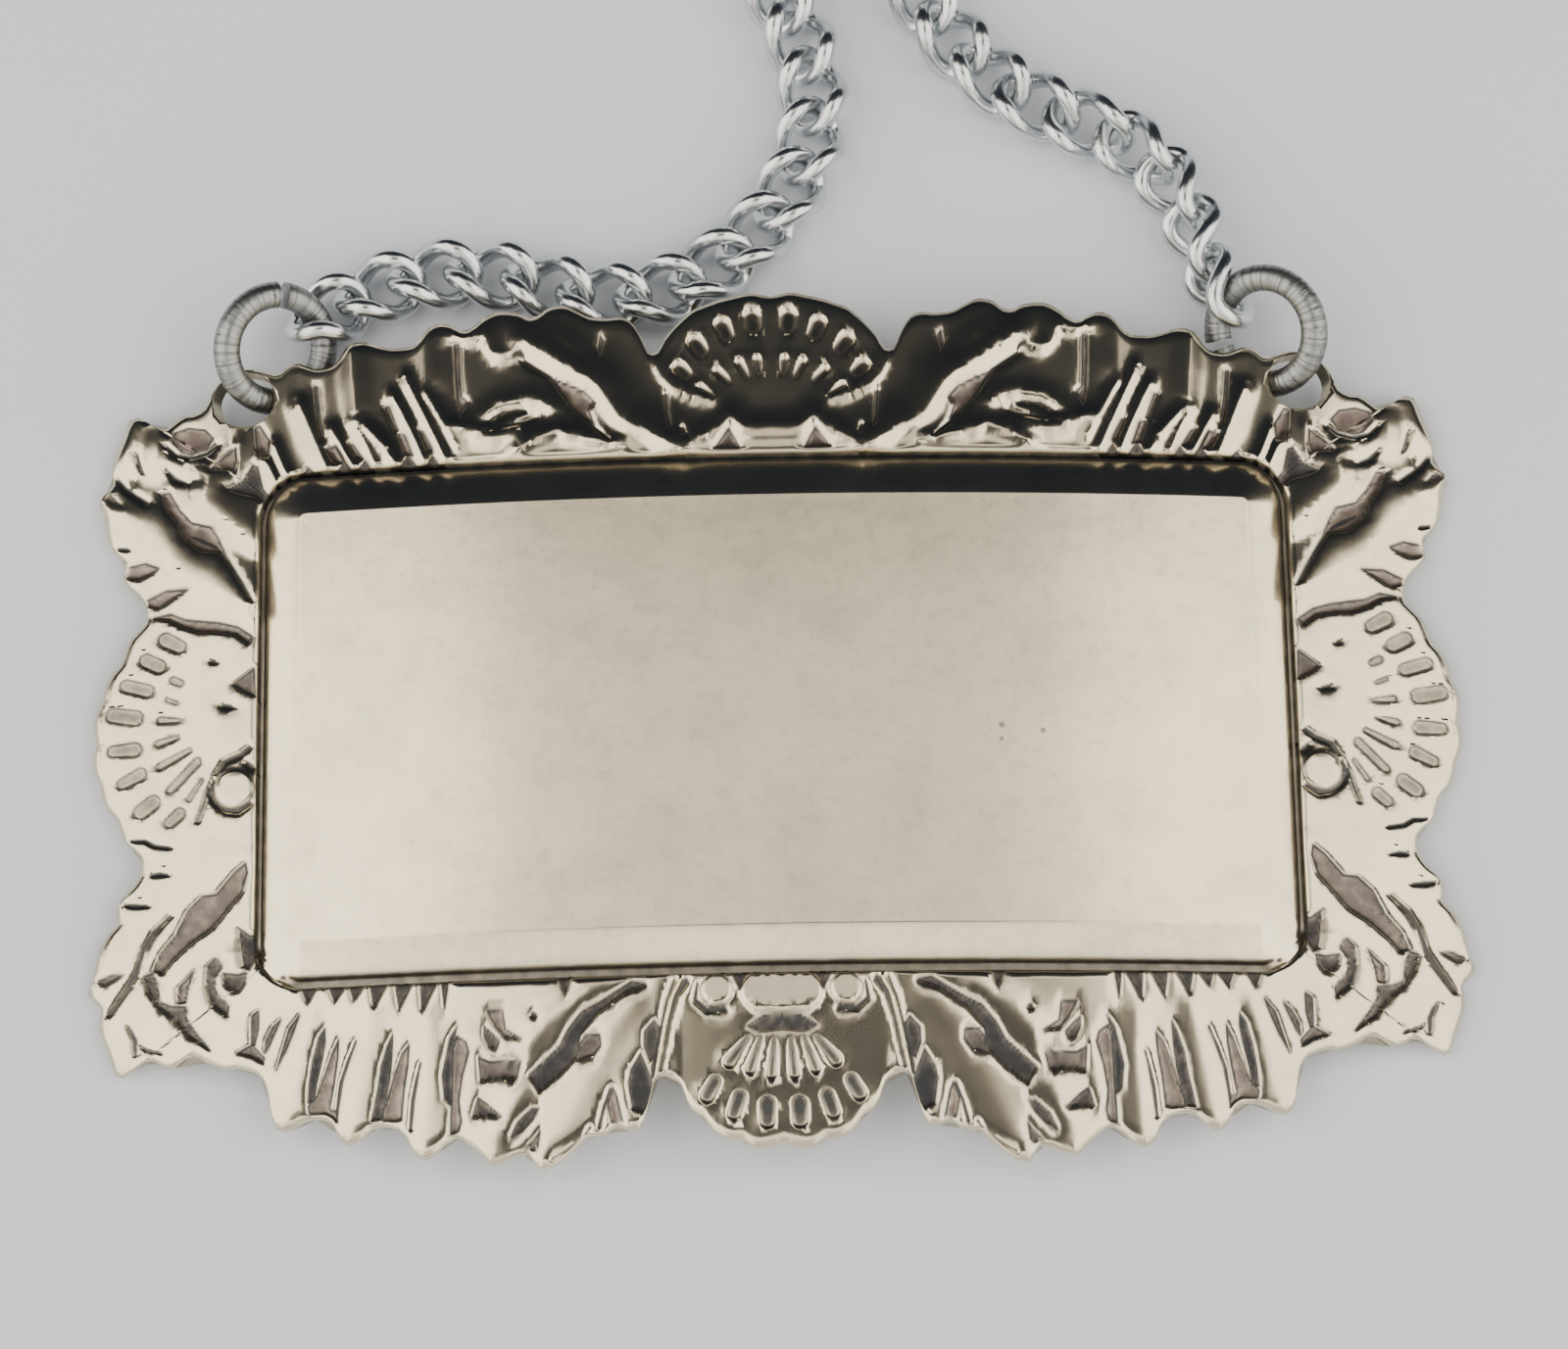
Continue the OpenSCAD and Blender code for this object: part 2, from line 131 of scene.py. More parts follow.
def quarter_rays(edge, count):
    """Start, direction and length of a quarter's rays, even along both its edge and the panel."""
    edge = np.array(edge, float)
    knots = np.concatenate([[0], np.cumsum(np.hypot(*np.diff(edge, axis=0).T))])
    place = np.maximum.accumulate(np.array([ray_place(p) for p in edge]) + 1e-4 * np.arange(len(edge)))
    reach = np.array([np.linalg.norm(p - np.clip(p, -panel_core, panel_core)) for p in edge])
    fine = np.linspace(0, knots[-1], 5000)
    passed = np.maximum.accumulate(smooth_line(knots, place, fine))
    at = np.interp(np.linspace(0, 1, count), (fine / fine[-1] + passed / passed[-1]) / 2, fine)
    start, way = ray_line(np.maximum.accumulate(smooth_line(knots, place, at)))
    return np.concatenate([start, way, smooth_line(knots, reach, at)[:, None]], axis=1)


def mirrored(rays, sx, sy):
    return rays * np.array([sx, sy, sx, sy, 1])


quarter_count = 181
low_rays, top_rays = quarter_rays(low_edge, quarter_count), quarter_rays(top_edge, quarter_count)
rays = np.concatenate([mirrored(low_rays, 1, -1), mirrored(top_rays[::-1], 1, 1)[1:],
                       mirrored(top_rays, -1, 1)[1:], mirrored(low_rays[::-1], -1, -1)[1:-1]])
around = len(rays)
low_way, top_way = np.minimum(rays[:, 3], 0) ** 2, np.maximum(rays[:, 3], 0) ** 2

# The groove between the panel's foot and the border is widest below the panel, and narrow above it.
border_in = panel_r + 0.04 + 0.18 * low_way + 0.16 * top_way
panel_foot = panel_r - 0.15 + 0.28 * top_way

# The ornament, struck alike left and right, in mm from the middle, with the lower half first. A hollow is a
# flat floor that the punch sank, as (depth, darkness, corners). A cut is a line of (across, up, half width).
# A bowl is a shell's slot, scooped deeper towards the end of its run, and worn even on the side shells. A fold
# is a crest of (across, up, width of its steep side) that falls away gently on the left of its run. A ridge
# is even on both sides, and a boss is a disc, as (across, up, radius, rise, darkness of its outline).
low_hollows = [
    # the gadroons
    (0.14, 0.5, [(20.95, 11.75), (20.65, 11.55), (20.65, 12.3), (20.8, 12.95), (20.95, 12.9)]),
    (0.12, 0.4, [(21.5, 13.2), (20.9, 12.9), (20.4, 13.45), (20.45, 13.65), (20.9, 13.4)]),
    (0.12, 0.5, [(19.75, 11.95), (20.1, 12.25), (20.38, 12.75), (20.42, 13.3), (20.2, 12.95)]),
    (0.12, 0.5, [(19.0, 11.8), (19.45, 12.35), (19.65, 13.0), (19.92, 13.9), (19.5, 13.1), (19.25, 12.5)]),
    (0.16, 0.75, [(18.0, 12.4), (18.25, 12.75), (18.48, 13.6), (18.63, 14.6), (18.68, 15.3), (18.4, 15.25),
                  (18.33, 14.6), (18.1, 13.6), (17.98, 12.9)]),
    (0.15, 0.1, [(17.45, 12.85), (17.72, 13.4), (18.0, 14.2), (18.32, 15.05), (18.68, 15.45), (18.6, 15.9),
                 (17.95, 15.8), (17.5, 16.1), (17.48, 15.7), (17.8, 15.6), (17.62, 14.6), (17.48, 13.6)]),
    (0.16, 0.7, [(15.3, 12.75), (15.52, 13.2), (15.77, 14.0), (15.88, 14.8), (16.15, 16.1), (15.78, 16.1),
                 (15.6, 15.4), (15.42, 14.6), (15.33, 13.6)]),
    (0.15, 0.1, [(14.65, 13.2), (14.95, 13.55), (15.25, 14.4), (15.45, 15.1), (15.72, 15.8), (15.7, 16.2),
                 (15.2, 16.2), (14.95, 16.1), (14.85, 15.0), (14.7, 14.0)]),
    (0.18, 0.8, [(12.75, 12.55), (13.05, 13.0), (13.22, 13.8), (13.36, 14.5), (13.27, 15.3), (13.0, 15.7),
                 (12.95, 14.4), (12.95, 13.3)]),
    (0.18, 0.15, [(12.8, 12.9), (12.95, 13.5), (12.98, 15.2), (13.05, 16.8), (12.72, 16.8), (12.6, 16.3),
                  (12.7, 15.5), (12.55, 14.5), (12.3, 13.6), (12.4, 13.2)]),
    # the leaf beside the shell
    (0.2, 0.7, [(5.3, 11.12), (5.9, 11.02), (7.2, 11.82), (7.85, 12.15), (8.38, 12.8), (8.75, 13.5),
                (9.95, 14.58), (9.55, 15.25), (8.6, 14.5), (8.05, 13.9), (7.9, 13.05), (7.2, 12.2),
                (6.2, 11.5)]),
    (0.14, 0.45, [(7.15, 13.05), (7.7, 13.1), (8.0, 13.5), (8.0, 14.05), (7.4, 13.9), (7.1, 13.5)]),
    (0.12, 0.1, [(11.6, 12.0), (10.95, 12.02), (10.85, 12.75), (10.2, 13.15), (10.9, 13.05), (11.25, 12.6)]),
    (0.12, 0.5, [(11.7, 12.6), (11.4, 12.85), (11.08, 13.2), (11.2, 13.55), (11.5, 13.4), (11.7, 13.0)]),
    (0.16, 0.4, [(11.92, 13.75), (11.5, 14.0), (10.25, 14.0), (10.42, 14.7), (11.2, 14.65), (11.85, 14.75)]),
    (0.14, 0.55, [(11.95, 15.4), (11.65, 15.6), (11.0, 16.2), (11.6, 16.1), (12.18, 16.15)]),
    (0.14, 0.7, [(9.55, 15.9), (9.85, 15.9), (10.4, 16.4), (10.7, 17.05), (10.2, 16.75), (9.8, 16.3)]),
    (0.12, 0.4, [(9.5, 16.75), (9.75, 17.1), (10.3, 17.6), (11.2, 17.85), (10.2, 17.72), (9.6, 17.45)]),
    (0.14, 0.0, [(6.65, 15.15), (6.88, 15.8), (6.83, 16.1), (6.72, 16.6), (6.22, 16.75), (6.35, 16.2),
                 (6.5, 15.5)]),
    (0.18, 0.75, [(5.55, 13.85), (5.95, 14.5), (6.05, 15.0), (5.9, 16.0), (5.5, 16.2), (5.25, 15.8),
                  (5.05, 15.2), (5.25, 14.6)]),
    (0.12, 0.6, [(5.4, 13.0), (5.0, 12.55), (4.78, 12.9), (4.95, 14.1), (5.2, 14.2), (5.42, 13.6)]),
    # the root of the shell
    (0.08, 0.6, [(1.4, 12.85), (0.7, 12.45), (0, 12.35), (-0.1, 13.0), (0.9, 13.1)]),
    (0.16, 0.6, [(1.05, 10.7), (1.98, 10.72), (1.62, 11.42)]),
    (0.1, 0.5, [(2.75, 11.75), (2.5, 11.8), (2.15, 12.25), (2.35, 12.35)]),
    # the corner leaf
    (0.18, 0.2, [(21.25, 5.5), (21.7, 5.85), (22.45, 6.72), (23.0, 6.75), (23.6, 7.3), (24.1, 8.3),
                 (24.7, 9.0), (24.97, 9.65), (24.6, 9.8), (24.2, 9.3), (23.4, 8.6), (22.6, 8.1),
                 (22.0, 7.4), (21.4, 6.7), (21.18, 5.9)]),
    (0.16, 0.5, [(24.95, 9.72), (25.35, 9.85), (25.15, 10.5), (24.7, 11.15), (24.0, 11.75), (23.5, 12.4),
                 (22.6, 13.0), (23.2, 12.25), (23.55, 11.7), (23.58, 11.2), (24.2, 11.15), (24.65, 10.95),
                 (24.75, 10.3)]),
    (0.14, 0.1, [(23.25, 9.7), (23.6, 10.1), (23.92, 10.4), (23.92, 11.1), (23.6, 11.05), (23.5, 10.4)]),
    (0.14, 0.5, [(22.4, 9.3), (22.75, 9.6), (22.77, 10.4), (22.5, 11.2), (21.9, 11.7), (21.85, 11.3),
                 (22.15, 11.0), (22.42, 10.6), (22.42, 10.1), (22.15, 9.7)]),
    (0.14, 0.5, [(22.1, 9.95), (21.5, 10.05), (21.15, 9.98), (21.2, 10.4), (21.48, 10.78), (21.8, 10.6),
                 (22.05, 10.4)]),
    (0.16, 0.6, [(21.48, 8.15), (21.0, 8.52), (20.6, 8.4), (20.35, 9.0), (20.7, 9.2), (21.1, 9.9),
                 (21.25, 9.7), (21.38, 9.0)]),
    (0.1, 0.45, [(27.25, 9.9), (26.7, 9.72), (26.2, 9.72), (26.6, 9.95), (26.95, 10.15)]),
    (0.1, 0.2, [(19.92, 9.65), (19.92, 10.18), (19.4, 10.0)]),
]
# The notches between the scallops beside the panel, where the gadroons begin, as (start, end, tip, its up).
notch_foot = 10.72
low_notches = [(18.95, 18.3, 18.7, 11.35), (17.85, 17.15, 17.6, 11.35), (17.05, 16.4, 16.85, 11.35),
               (16.22, 15.5, 16.05, 11.65), (15.22, 14.5, 15.05, 11.8), (14.22, 13.5, 14.15, 11.88),
               (13.38, 13.08, 13.25, 11.88), (8.8, 8.25, 8.45, 11.4)]
for start, end, tip, tip_up in low_notches:
    low_hollows.append((0.16, 0.6, [(start, notch_foot), (end, notch_foot), (tip, tip_up)]))
low_cuts = [
    (0.1, [(16.75, 12.95, 0.04), (17.05, 13.7, 0.08), (17.35, 14.6, 0.1), (17.52, 15.8, 0.08)]),
    (0.1, [(14.2, 13.95, 0.04), (14.35, 14.6, 0.08), (14.5, 15.4, 0.1), (14.6, 16.5, 0.08)]),
    (0.1, [(9.75, 12.2, 0.12), (9.7, 12.22, 0.12)]),
    (0.1, [(7.55, 16.7, 0.05), (7.85, 17.2, 0.1), (8.5, 17.65, 0.1), (9.05, 17.9, 0.05)]),
    (0.1, [(6.75, 15.2, 0.04), (7.0, 15.9, 0.08), (7.2, 16.7, 0.1)]),
    (0.14, [(3.75, 11.05, 0.14), (4.12, 11.6, 0.1), (4.4, 12.6, 0.08), (4.62, 13.8, 0.08),
            (4.85, 14.8, 0.08)]),
    (0.12, [(4.2, 11.0, 0.06), (4.5, 11.8, 0.06), (4.75, 12.9, 0.06), (4.98, 13.9, 0.08), (5.1, 14.8, 0.08)]),
    (0.1, [(3.3, 11.15, 0.06), (3.4, 11.8, 0.1), (2.95, 12.2, 0.12), (2.2, 12.2, 0.08)]),
    (0.1, [(24.3, 7.45, 0.03), (25.0, 8.1, 0.1), (25.4, 8.8, 0.1), (25.62, 9.65, 0.12), (26.15, 10.45, 0.1),
           (26.75, 11.3, 0.08)]),
    (0.08, [(25.02, 5.7, 0.07), (24.75, 5.68, 0.09), (24.45, 5.74, 0.04)]),
    (0.08, [(26.1, 6.85, 0.06), (25.8, 6.9, 0.1), (25.25, 6.96, 0.04)]),
    (0.08, [(25.95, 11.8, 0.06), (25.65, 12.4, 0.12), (25.62, 13.0, 0.08)]),
    (0.07, [(25.5, 12.62, 0.06), (25.1, 12.85, 0.06), (24.6, 13.0, 0.05)]),
    # the side shell
    (0.07, [(26.0, 4.22, 0.05), (25.4, 4.24, 0.06), (25.0, 4.5, 0.07), (24.35, 4.62, 0.05)]),
    (0.12, [(22.6, 1.95, 0.06), (22.78, 2.5, 0.12), (22.5, 2.9, 0.1), (22.1, 3.25, 0.1), (21.6, 3.35, 0.12),
            (21.1, 3.05, 0.08)]),
    (0.1, [(22.55, 1.72, 0.06), (22.2, 1.25, 0.1), (21.5, 1.0, 0.12), (21.15, 0.7, 0.08)]),
    (0.12, [(21.25, 1.35, 0.1), (21.05, 1.55, 0.14)]),
    (0.07, [(23.25, 3.65, 0.05), (22.98, 2.9, 0.07), (22.85, 2.3, 0.05)]),
]
low_bowls = [
    (0.18, [(0.33, 13.45, 0.1), (0.45, 14.75, 0.2)]), (0.18, [(0.85, 13.35, 0.1), (1.28, 14.55, 0.2)]),
    (0.18, [(1.35, 13.35, 0.12), (2.08, 14.25, 0.24)]),
    (0.2, [(0.62, 15.9, 0.33), (0.64, 16.55, 0.3)]), (0.2, [(1.7, 15.6, 0.28), (1.94, 16.25, 0.27)]),
    (0.2, [(2.65, 15.0, 0.26), (2.98, 15.55, 0.27)]),
    (0.1, [(26.8, 0.42, 0.22), (25.9, 0.42, 0.27)]), (0.14, [(26.4, 1.82, 0.2), (25.65, 1.48, 0.25)]),
    (0.14, [(25.6, 3.05, 0.28), (25.1, 2.7, 0.28)]), (0.14, [(24.4, 3.6, 0.2), (24.0, 3.25, 0.22)]),
    (0.14, [(24.95, 0.26, 0.12), (24.15, 0.06, 0.07)]), (0.14, [(24.85, 1.22, 0.13), (23.65, 0.65, 0.08)]),
    (0.14, [(24.4, 2.25, 0.13), (23.3, 1.15, 0.15)]), (0.1, [(23.62, 2.7, 0.08), (23.1, 1.95, 0.06)]),
]
low_folds = [
    (0.03, 0.6, [(21.3, 5.2, 0.5), (22.6, 6.2, 0.5), (23.6, 6.9, 0.5), (24.4, 7.9, 0.4), (25.2, 9.2, 0.3)]),
    (0.03, 0.8, [(22.9, 12.4, 0.4), (24.0, 11.3, 0.4), (24.3, 10.4, 0.4)]),
]
low_ridges = [
    (0.06, [(13.95, 12.2, 0.4), (13.95, 14.5, 0.6), (14.05, 17.2, 0.5)]),
    (0.06, [(16.1, 12.0, 0.4), (16.55, 14.0, 0.6), (17.0, 16.6, 0.52)]),
    (0.06, [(18.6, 12.0, 0.4), (19.15, 13.6, 0.6), (19.6, 16.0, 0.5)]),
    (0.03, [(5.9, 11.8, 0.5), (7.0, 13.0, 0.7), (8.0, 15.2, 0.8), (8.9, 17.0, 0.6)]),
    (0.08, [(7.6, 11.3, 0.5), (9.3, 12.4, 0.6), (10.0, 13.4, 0.4)]),
    (0.07, [(10.4, 15.2, 0.5), (11.2, 16.8, 0.5)]),
    (0.12, [(3.95, 11.0, 0.08), (4.3, 11.7, 0.1), (4.58, 12.7, 0.1), (4.82, 13.9, 0.1), (4.98, 14.8, 0.08)]),
    (0.06, [(22.6, 0, 0.8), (22.6, 0.5, 0.7)]),
    (0.03, [(21.9, 9.3, 0.3), (23.1, 9.6, 0.3), (23.2, 11.1, 0.35), (22.5, 12.2, 0.5), (21.5, 12.3, 0.5)]),
]

# The upper half: slanted gadroons that run out smooth, a leaf with a stepped edge, and a wider shell.
top_hollows = [
    # the gadroons
    (0.14, 0.15, [(15.78, 13.45), (15.6, 13.5), (15.2, 12.4), (15.32, 12.3)]),
    (0.14, 0.1, [(15.25, 12.25), (14.95, 12.2), (14.6, 11.25), (14.95, 11.3)]),
    (0.14, 0.1, [(18.2, 11.75), (17.75, 11.85), (17.35, 11.05), (17.85, 11.15)]),
    (0.12, 0.2, [(17.3, 11.95), (17.05, 11.9), (16.6, 11.2), (16.95, 11.25)]),
    (0.12, 0.2, [(14.4, 12.35), (14.22, 12.3), (13.75, 11.35), (14.0, 11.4)]),
    (0.14, 0.25, [(18.72, 14.6), (18.58, 14.6), (18.45, 13.4), (18.25, 12.2), (18.4, 12.2), (18.58, 13.2)]),
    (0.14, 0.05, [(21.15, 12.95), (20.92, 13.0), (20.5, 12.3), (20.55, 11.62), (21.0, 11.5)]),
    (0.16, 0.1, [(12.95, 16.1), (12.75, 16.1), (12.68, 14.6), (12.62, 13.75), (12.38, 13.5), (12.68, 12.95),
                 (12.82, 13.6), (12.9, 15.0)]),
    # the leaf beside the shell
    (0.18, 0.05, [(9.0, 14.4), (8.3, 14.1), (7.6, 13.72), (7.22, 13.3), (7.42, 12.9), (7.2, 12.25),
                  (7.9, 12.8), (8.5, 13.6)]),
    (0.1, 0.3, [(6.95, 16.2), (6.82, 16.0), (6.95, 15.3), (7.05, 15.6)]),
    # the root of the shell
    (0.12, 0.3, [(1.75, 11.9), (1.3, 11.05), (2.3, 11.1)]),
    # the corner leaf
    (0.04, 0.0, [(24.6, 12.6), (24.2, 12.1), (23.7, 11.95), (23.1, 12.1), (22.85, 12.6), (23.2, 13.0),
                 (23.9, 13.15), (24.5, 13.0)]),
    (0.16, 0.1, [(24.95, 10.35), (24.65, 10.4), (24.2, 9.6), (23.7, 9.0), (22.9, 8.75), (22.6, 8.3),
                 (22.2, 7.4), (21.5, 6.2), (21.05, 5.3), (21.3, 5.5), (21.9, 6.7), (22.5, 7.6), (23.3, 7.7),
                 (23.9, 8.2), (24.3, 9.0), (24.75, 9.6)]),
    (0.12, 0.1, [(25.0, 7.15), (25.6, 7.45), (26.5, 7.35), (26.9, 7.25), (26.5, 6.85), (25.9, 6.8),
                 (25.3, 7.0)]),
    (0.12, 0.1, [(23.75, 6.12), (24.7, 6.2), (25.6, 5.82), (26.2, 5.75), (25.5, 5.58), (25.0, 5.45),
                 (24.4, 5.85)]),
    (0.16, 0.3, [(25.2, 5.1), (24.5, 5.2), (23.9, 4.9), (22.5, 4.65), (21.7, 4.4), (21.1, 3.95),
                 (21.25, 3.65), (21.8, 4.1), (22.8, 4.3), (23.4, 4.35), (24.0, 4.6), (24.6, 4.95)]),
    (0.14, 0.05, [(22.95, 11.2), (22.5, 11.7), (21.9, 12.1), (21.85, 11.5), (22.0, 11.1), (22.3, 11.15)]),
    (0.14, 0.6, [(22.2, 10.3), (21.6, 10.6), (21.2, 11.3), (21.0, 11.2), (20.75, 10.2), (20.2, 9.5),
                 (20.5, 9.45), (21.1, 9.9), (21.8, 10.1)]),
    (0.1, 0.5, [(27.4, 10.7), (27.0, 10.4), (26.7, 10.05), (27.1, 10.2), (27.4, 10.35)]),
    (0.12, 0.4, [(21.85, 2.0), (21.0, 2.6), (20.95, 1.4), (21.5, 1.7)]),
]
top_notches = [(17.7, 17.1, 17.4, 11.15), (16.85, 16.3, 16.55, 11.15), (15.1, 14.4, 14.8, 11.3),
               (14.0, 13.5, 13.8, 11.2), (19.1, 18.6, 18.9, 11.0)]
for start, end, tip, tip_up in top_notches:
    top_hollows.append((0.14, 0.7, [(start, notch_foot), (end, notch_foot), (tip, tip_up)]))
top_cuts = [
    (0.1, [(10.05, 15.2, 0.08), (9.0, 14.45, 0.08), (8.05, 12.95, 0.08), (7.2, 12.1, 0.08),
           (6.6, 11.5, 0.08)]),
    (0.1, [(11.4, 12.7, 0.05), (10.9, 12.98, 0.07), (10.1, 13.03, 0.06)]),
    (0.08, [(11.7, 12.15, 0.05), (11.0, 12.2, 0.06), (10.2, 12.45, 0.06), (9.6, 12.65, 0.05)]),
    (0.08, [(4.3, 13.5, 0.05), (4.25, 12.7, 0.06), (4.15, 12.0, 0.08)]),
    (0.08, [(3.62, 11.95, 0.07), (3.52, 11.65, 0.07)]),
    (0.1, [(24.8, 12.4, 0.06), (24.4, 12.02, 0.08), (23.7, 11.82, 0.09), (23.1, 11.95, 0.08),
           (22.7, 12.3, 0.06)]),
    (0.08, [(26.05, 12.2, 0.06), (25.95, 11.8, 0.07), (25.8, 11.4, 0.05)]),
    (0.1, [(26.95, 11.35, 0.05), (26.5, 10.75, 0.1), (26.1, 10.4, 0.1), (25.6, 10.0, 0.12)]),
    (0.08, [(26.22, 11.1, 0.04), (26.28, 10.6, 0.09)]),
    (0.1, [(24.7, 11.3, 0.05), (24.4, 10.95, 0.12), (23.95, 10.75, 0.06)]),
    (0.08, [(23.65, 8.38, 0.05), (23.2, 8.15, 0.12), (22.6, 7.82, 0.07)]),
    (0.08, [(27.3, 8.1, 0.07), (26.85, 8.2, 0.09), (26.35, 8.15, 0.04)]),
    (0.08, [(22.72, 3.05, 0.1), (22.66, 3.0, 0.1)]),
    (0.1, [(22.2, 1.1, 0.12), (21.95, 1.05, 0.1)]),
]
top_bowls = [
    (0.16, [(0.5, 14.35, 0.1), (0.56, 14.95, 0.12)]), (0.16, [(1.0, 14.15, 0.1), (1.3, 14.8, 0.13)]),
    (0.16, [(1.75, 13.95, 0.1), (2.2, 14.45, 0.13)]), (0.16, [(2.35, 13.3, 0.08), (2.9, 13.75, 0.1)]),
    (0.2, [(0.72, 16.35, 0.3), (0.75, 16.85, 0.32)]), (0.2, [(1.8, 16.0, 0.28), (1.98, 16.5, 0.3)]),
    (0.2, [(2.85, 15.35, 0.28), (3.1, 15.75, 0.3)]), (0.2, [(3.5, 14.3, 0.26), (3.75, 14.6, 0.28)]),
    (0.16, [(24.7, 4.1, 0.28), (24.1, 3.75, 0.24)]), (0.16, [(25.5, 3.3, 0.26), (24.95, 3.0, 0.26)]),
    (0.14, [(26.3, 2.3, 0.24), (25.4, 2.0, 0.24)]), (0.1, [(26.85, 1.1, 0.28), (25.9, 0.9, 0.3)]),
    (0.05, [(24.35, 2.35, 0.14), (24.05, 2.2, 0.12)]), (0.05, [(24.6, 1.55, 0.06), (24.2, 1.38, 0.06)]),
    (0.14, [(24.85, 0.72, 0.12), (24.1, 0.64, 0.07)]),
]
top_folds = [
    # the gadroons, each with its steep side to the corner
    (0.2, 0.3, [(18.1, 10.9, 0.6), (18.6, 12.2, 0.75), (19.3, 13.8, 0.6)]),
    (0.16, 0.25, [(17.05, 10.85, 0.25), (17.45, 11.6, 0.3), (17.95, 12.6, 0.5)]),
    (0.16, 0.25, [(16.15, 10.95, 0.25), (16.6, 12.0, 0.3), (17.15, 12.95, 0.3)]),
    (0.2, 0.25, [(15.25, 10.85, 0.5), (15.75, 11.7, 0.6), (16.35, 12.4, 0.6), (16.9, 12.95, 0.4)]),
    (0.18, 0.25, [(14.1, 10.9, 0.3), (14.5, 11.9, 0.35), (15.1, 13.2, 0.35), (15.5, 13.9, 0.2)]),
    (0.18, 0.25, [(13.25, 10.95, 0.3), (13.8, 12.2, 0.35), (14.5, 13.7, 0.3), (15.0, 14.7, 0.15)]),
    (0.16, 0.25, [(12.75, 11.5, 0.3), (13.2, 12.3, 0.35), (13.75, 13.3, 0.25), (14.2, 14.0, 0.15)]),
    (0.14, 0.25, [(19.4, 10.1, 0.3), (19.9, 11.0, 0.35), (20.35, 12.1, 0.3)]),
    (0.16, 0.25, [(20.05, 10.1, 0.5), (20.55, 11.2, 0.5), (20.9, 11.6, 0.3)]),
    (0.16, 0.5, [(16.95, 13.3, 0.6), (17.05, 14.6, 0.7), (17.2, 16.0, 0.5)]),
    # the leaf beside the shell, with its steep side to the panel
    (0.24, 1.0, [(4.0, 11.05, 0.12), (4.9, 11.6, 0.3), (5.6, 12.0, 0.45), (6.1, 12.3, 0.5),
                 (6.6, 13.1, 0.45), (7.0, 13.75, 0.4), (7.5, 14.2, 0.35), (8.2, 14.55, 0.3),
                 (9.0, 15.15, 0.28), (9.75, 15.65, 0.22), (10.0, 15.75, 0.18)]),
    (0.12, 0.6, [(10.0, 15.75, 0.16), (10.5, 15.5, 0.16), (11.0, 15.35, 0.16), (11.4, 15.5, 0.16),
                 (11.62, 15.9, 0.16), (11.68, 16.3, 0.14), (12.4, 16.2, 0.14), (13.0, 16.3, 0.12)]),
    (0.12, 0.6, [(7.5, 14.75, 0.12), (7.9, 15.3, 0.2), (8.4, 15.9, 0.24), (8.9, 16.15, 0.22),
                 (9.6, 16.15, 0.14)]),
    (0.12, 0.45, [(8.95, 12.95, 0.2), (9.4, 13.3, 0.22), (10.2, 13.38, 0.22), (11.2, 13.15, 0.22),
                  (11.8, 12.7, 0.22), (12.15, 12.3, 0.2)]),
    (0.18, 0.4, [(6.0, 11.25, 0.2), (6.8, 11.45, 0.4), (7.6, 11.6, 0.4), (8.2, 11.75, 0.4),
                 (8.7, 12.0, 0.4), (9.3, 11.8, 0.45), (9.9, 11.5, 0.4), (10.35, 11.2, 0.2)]),
    (0.2, 0.3, [(10.4, 12.05, 0.5), (11.3, 12.05, 0.8), (12.2, 12.25, 0.9), (12.9, 12.45, 0.9)]),
    # the shell's edge and root
    (0.08, 0.5, [(2.4, 13.02, 0.1), (3.3, 13.3, 0.12), (4.05, 13.68, 0.12), (4.5, 14.18, 0.12),
                 (4.75, 14.7, 0.1)]),
    (0.18, 0.5, [(0, 11.78, 0.5), (0.8, 11.72, 0.5), (1.2, 11.9, 0.4), (1.72, 12.35, 0.3),
                 (2.0, 11.95, 0.4), (2.6, 11.6, 0.45), (3.2, 11.35, 0.35), (3.6, 11.02, 0.2),
                 (4.2, 10.95, 0.14)]),
    # the corner leaf
    (0.3, 1.3, [(21.0, 7.8, 0.6), (21.8, 8.4, 0.6), (22.5, 9.05, 0.6), (23.2, 9.7, 0.5), (23.4, 10.4, 0.4)]),
    (0.3, 1.5, [(21.3, 5.15, 0.6), (22.3, 5.75, 0.8), (22.9, 6.25, 0.9), (23.5, 6.5, 0.9),
                (24.2, 6.95, 0.9), (24.7, 7.6, 0.9), (25.3, 8.5, 0.9), (26.0, 8.9, 0.8)]),
    (0.12, 0.4, [(21.78, 10.6, 0.2), (21.82, 11.4, 0.2), (21.9, 12.2, 0.15)]),
]
top_ridges = [
    (0.1, [(14.0, 14.5, 0.5), (14.1, 17.0, 0.5)]),
    (0.06, [(22.6, 0, 0.8), (22.6, 0.5, 0.7)]),
    (0.16, [(26.6, 12.3, 0.9), (26.9, 12.9, 0.9)]),
    (0.16, [(25.3, 11.8, 0.8), (25.3, 12.3, 0.8)]),
]
low_bosses = [(0, 11.45, 0.9, 0.08, 0), (0.8, 11.5, 0.8, 0.08, 0), (2.55, 11.45, 0.6, 0.1, 0.6),
              (21.78, 2.4, 0.78, 0.1, 0.7)]
low_ornament = (low_hollows, low_cuts, low_bowls, low_folds, low_ridges, low_bosses)
top_ornament = (top_hollows, top_cuts, top_bowls, top_folds, top_ridges, [])

# Further off than far_off, in mm, a line or a hollow does nothing. A cut's half width is least_cut or more.
far_off = 9.0
least_cut = 0.06


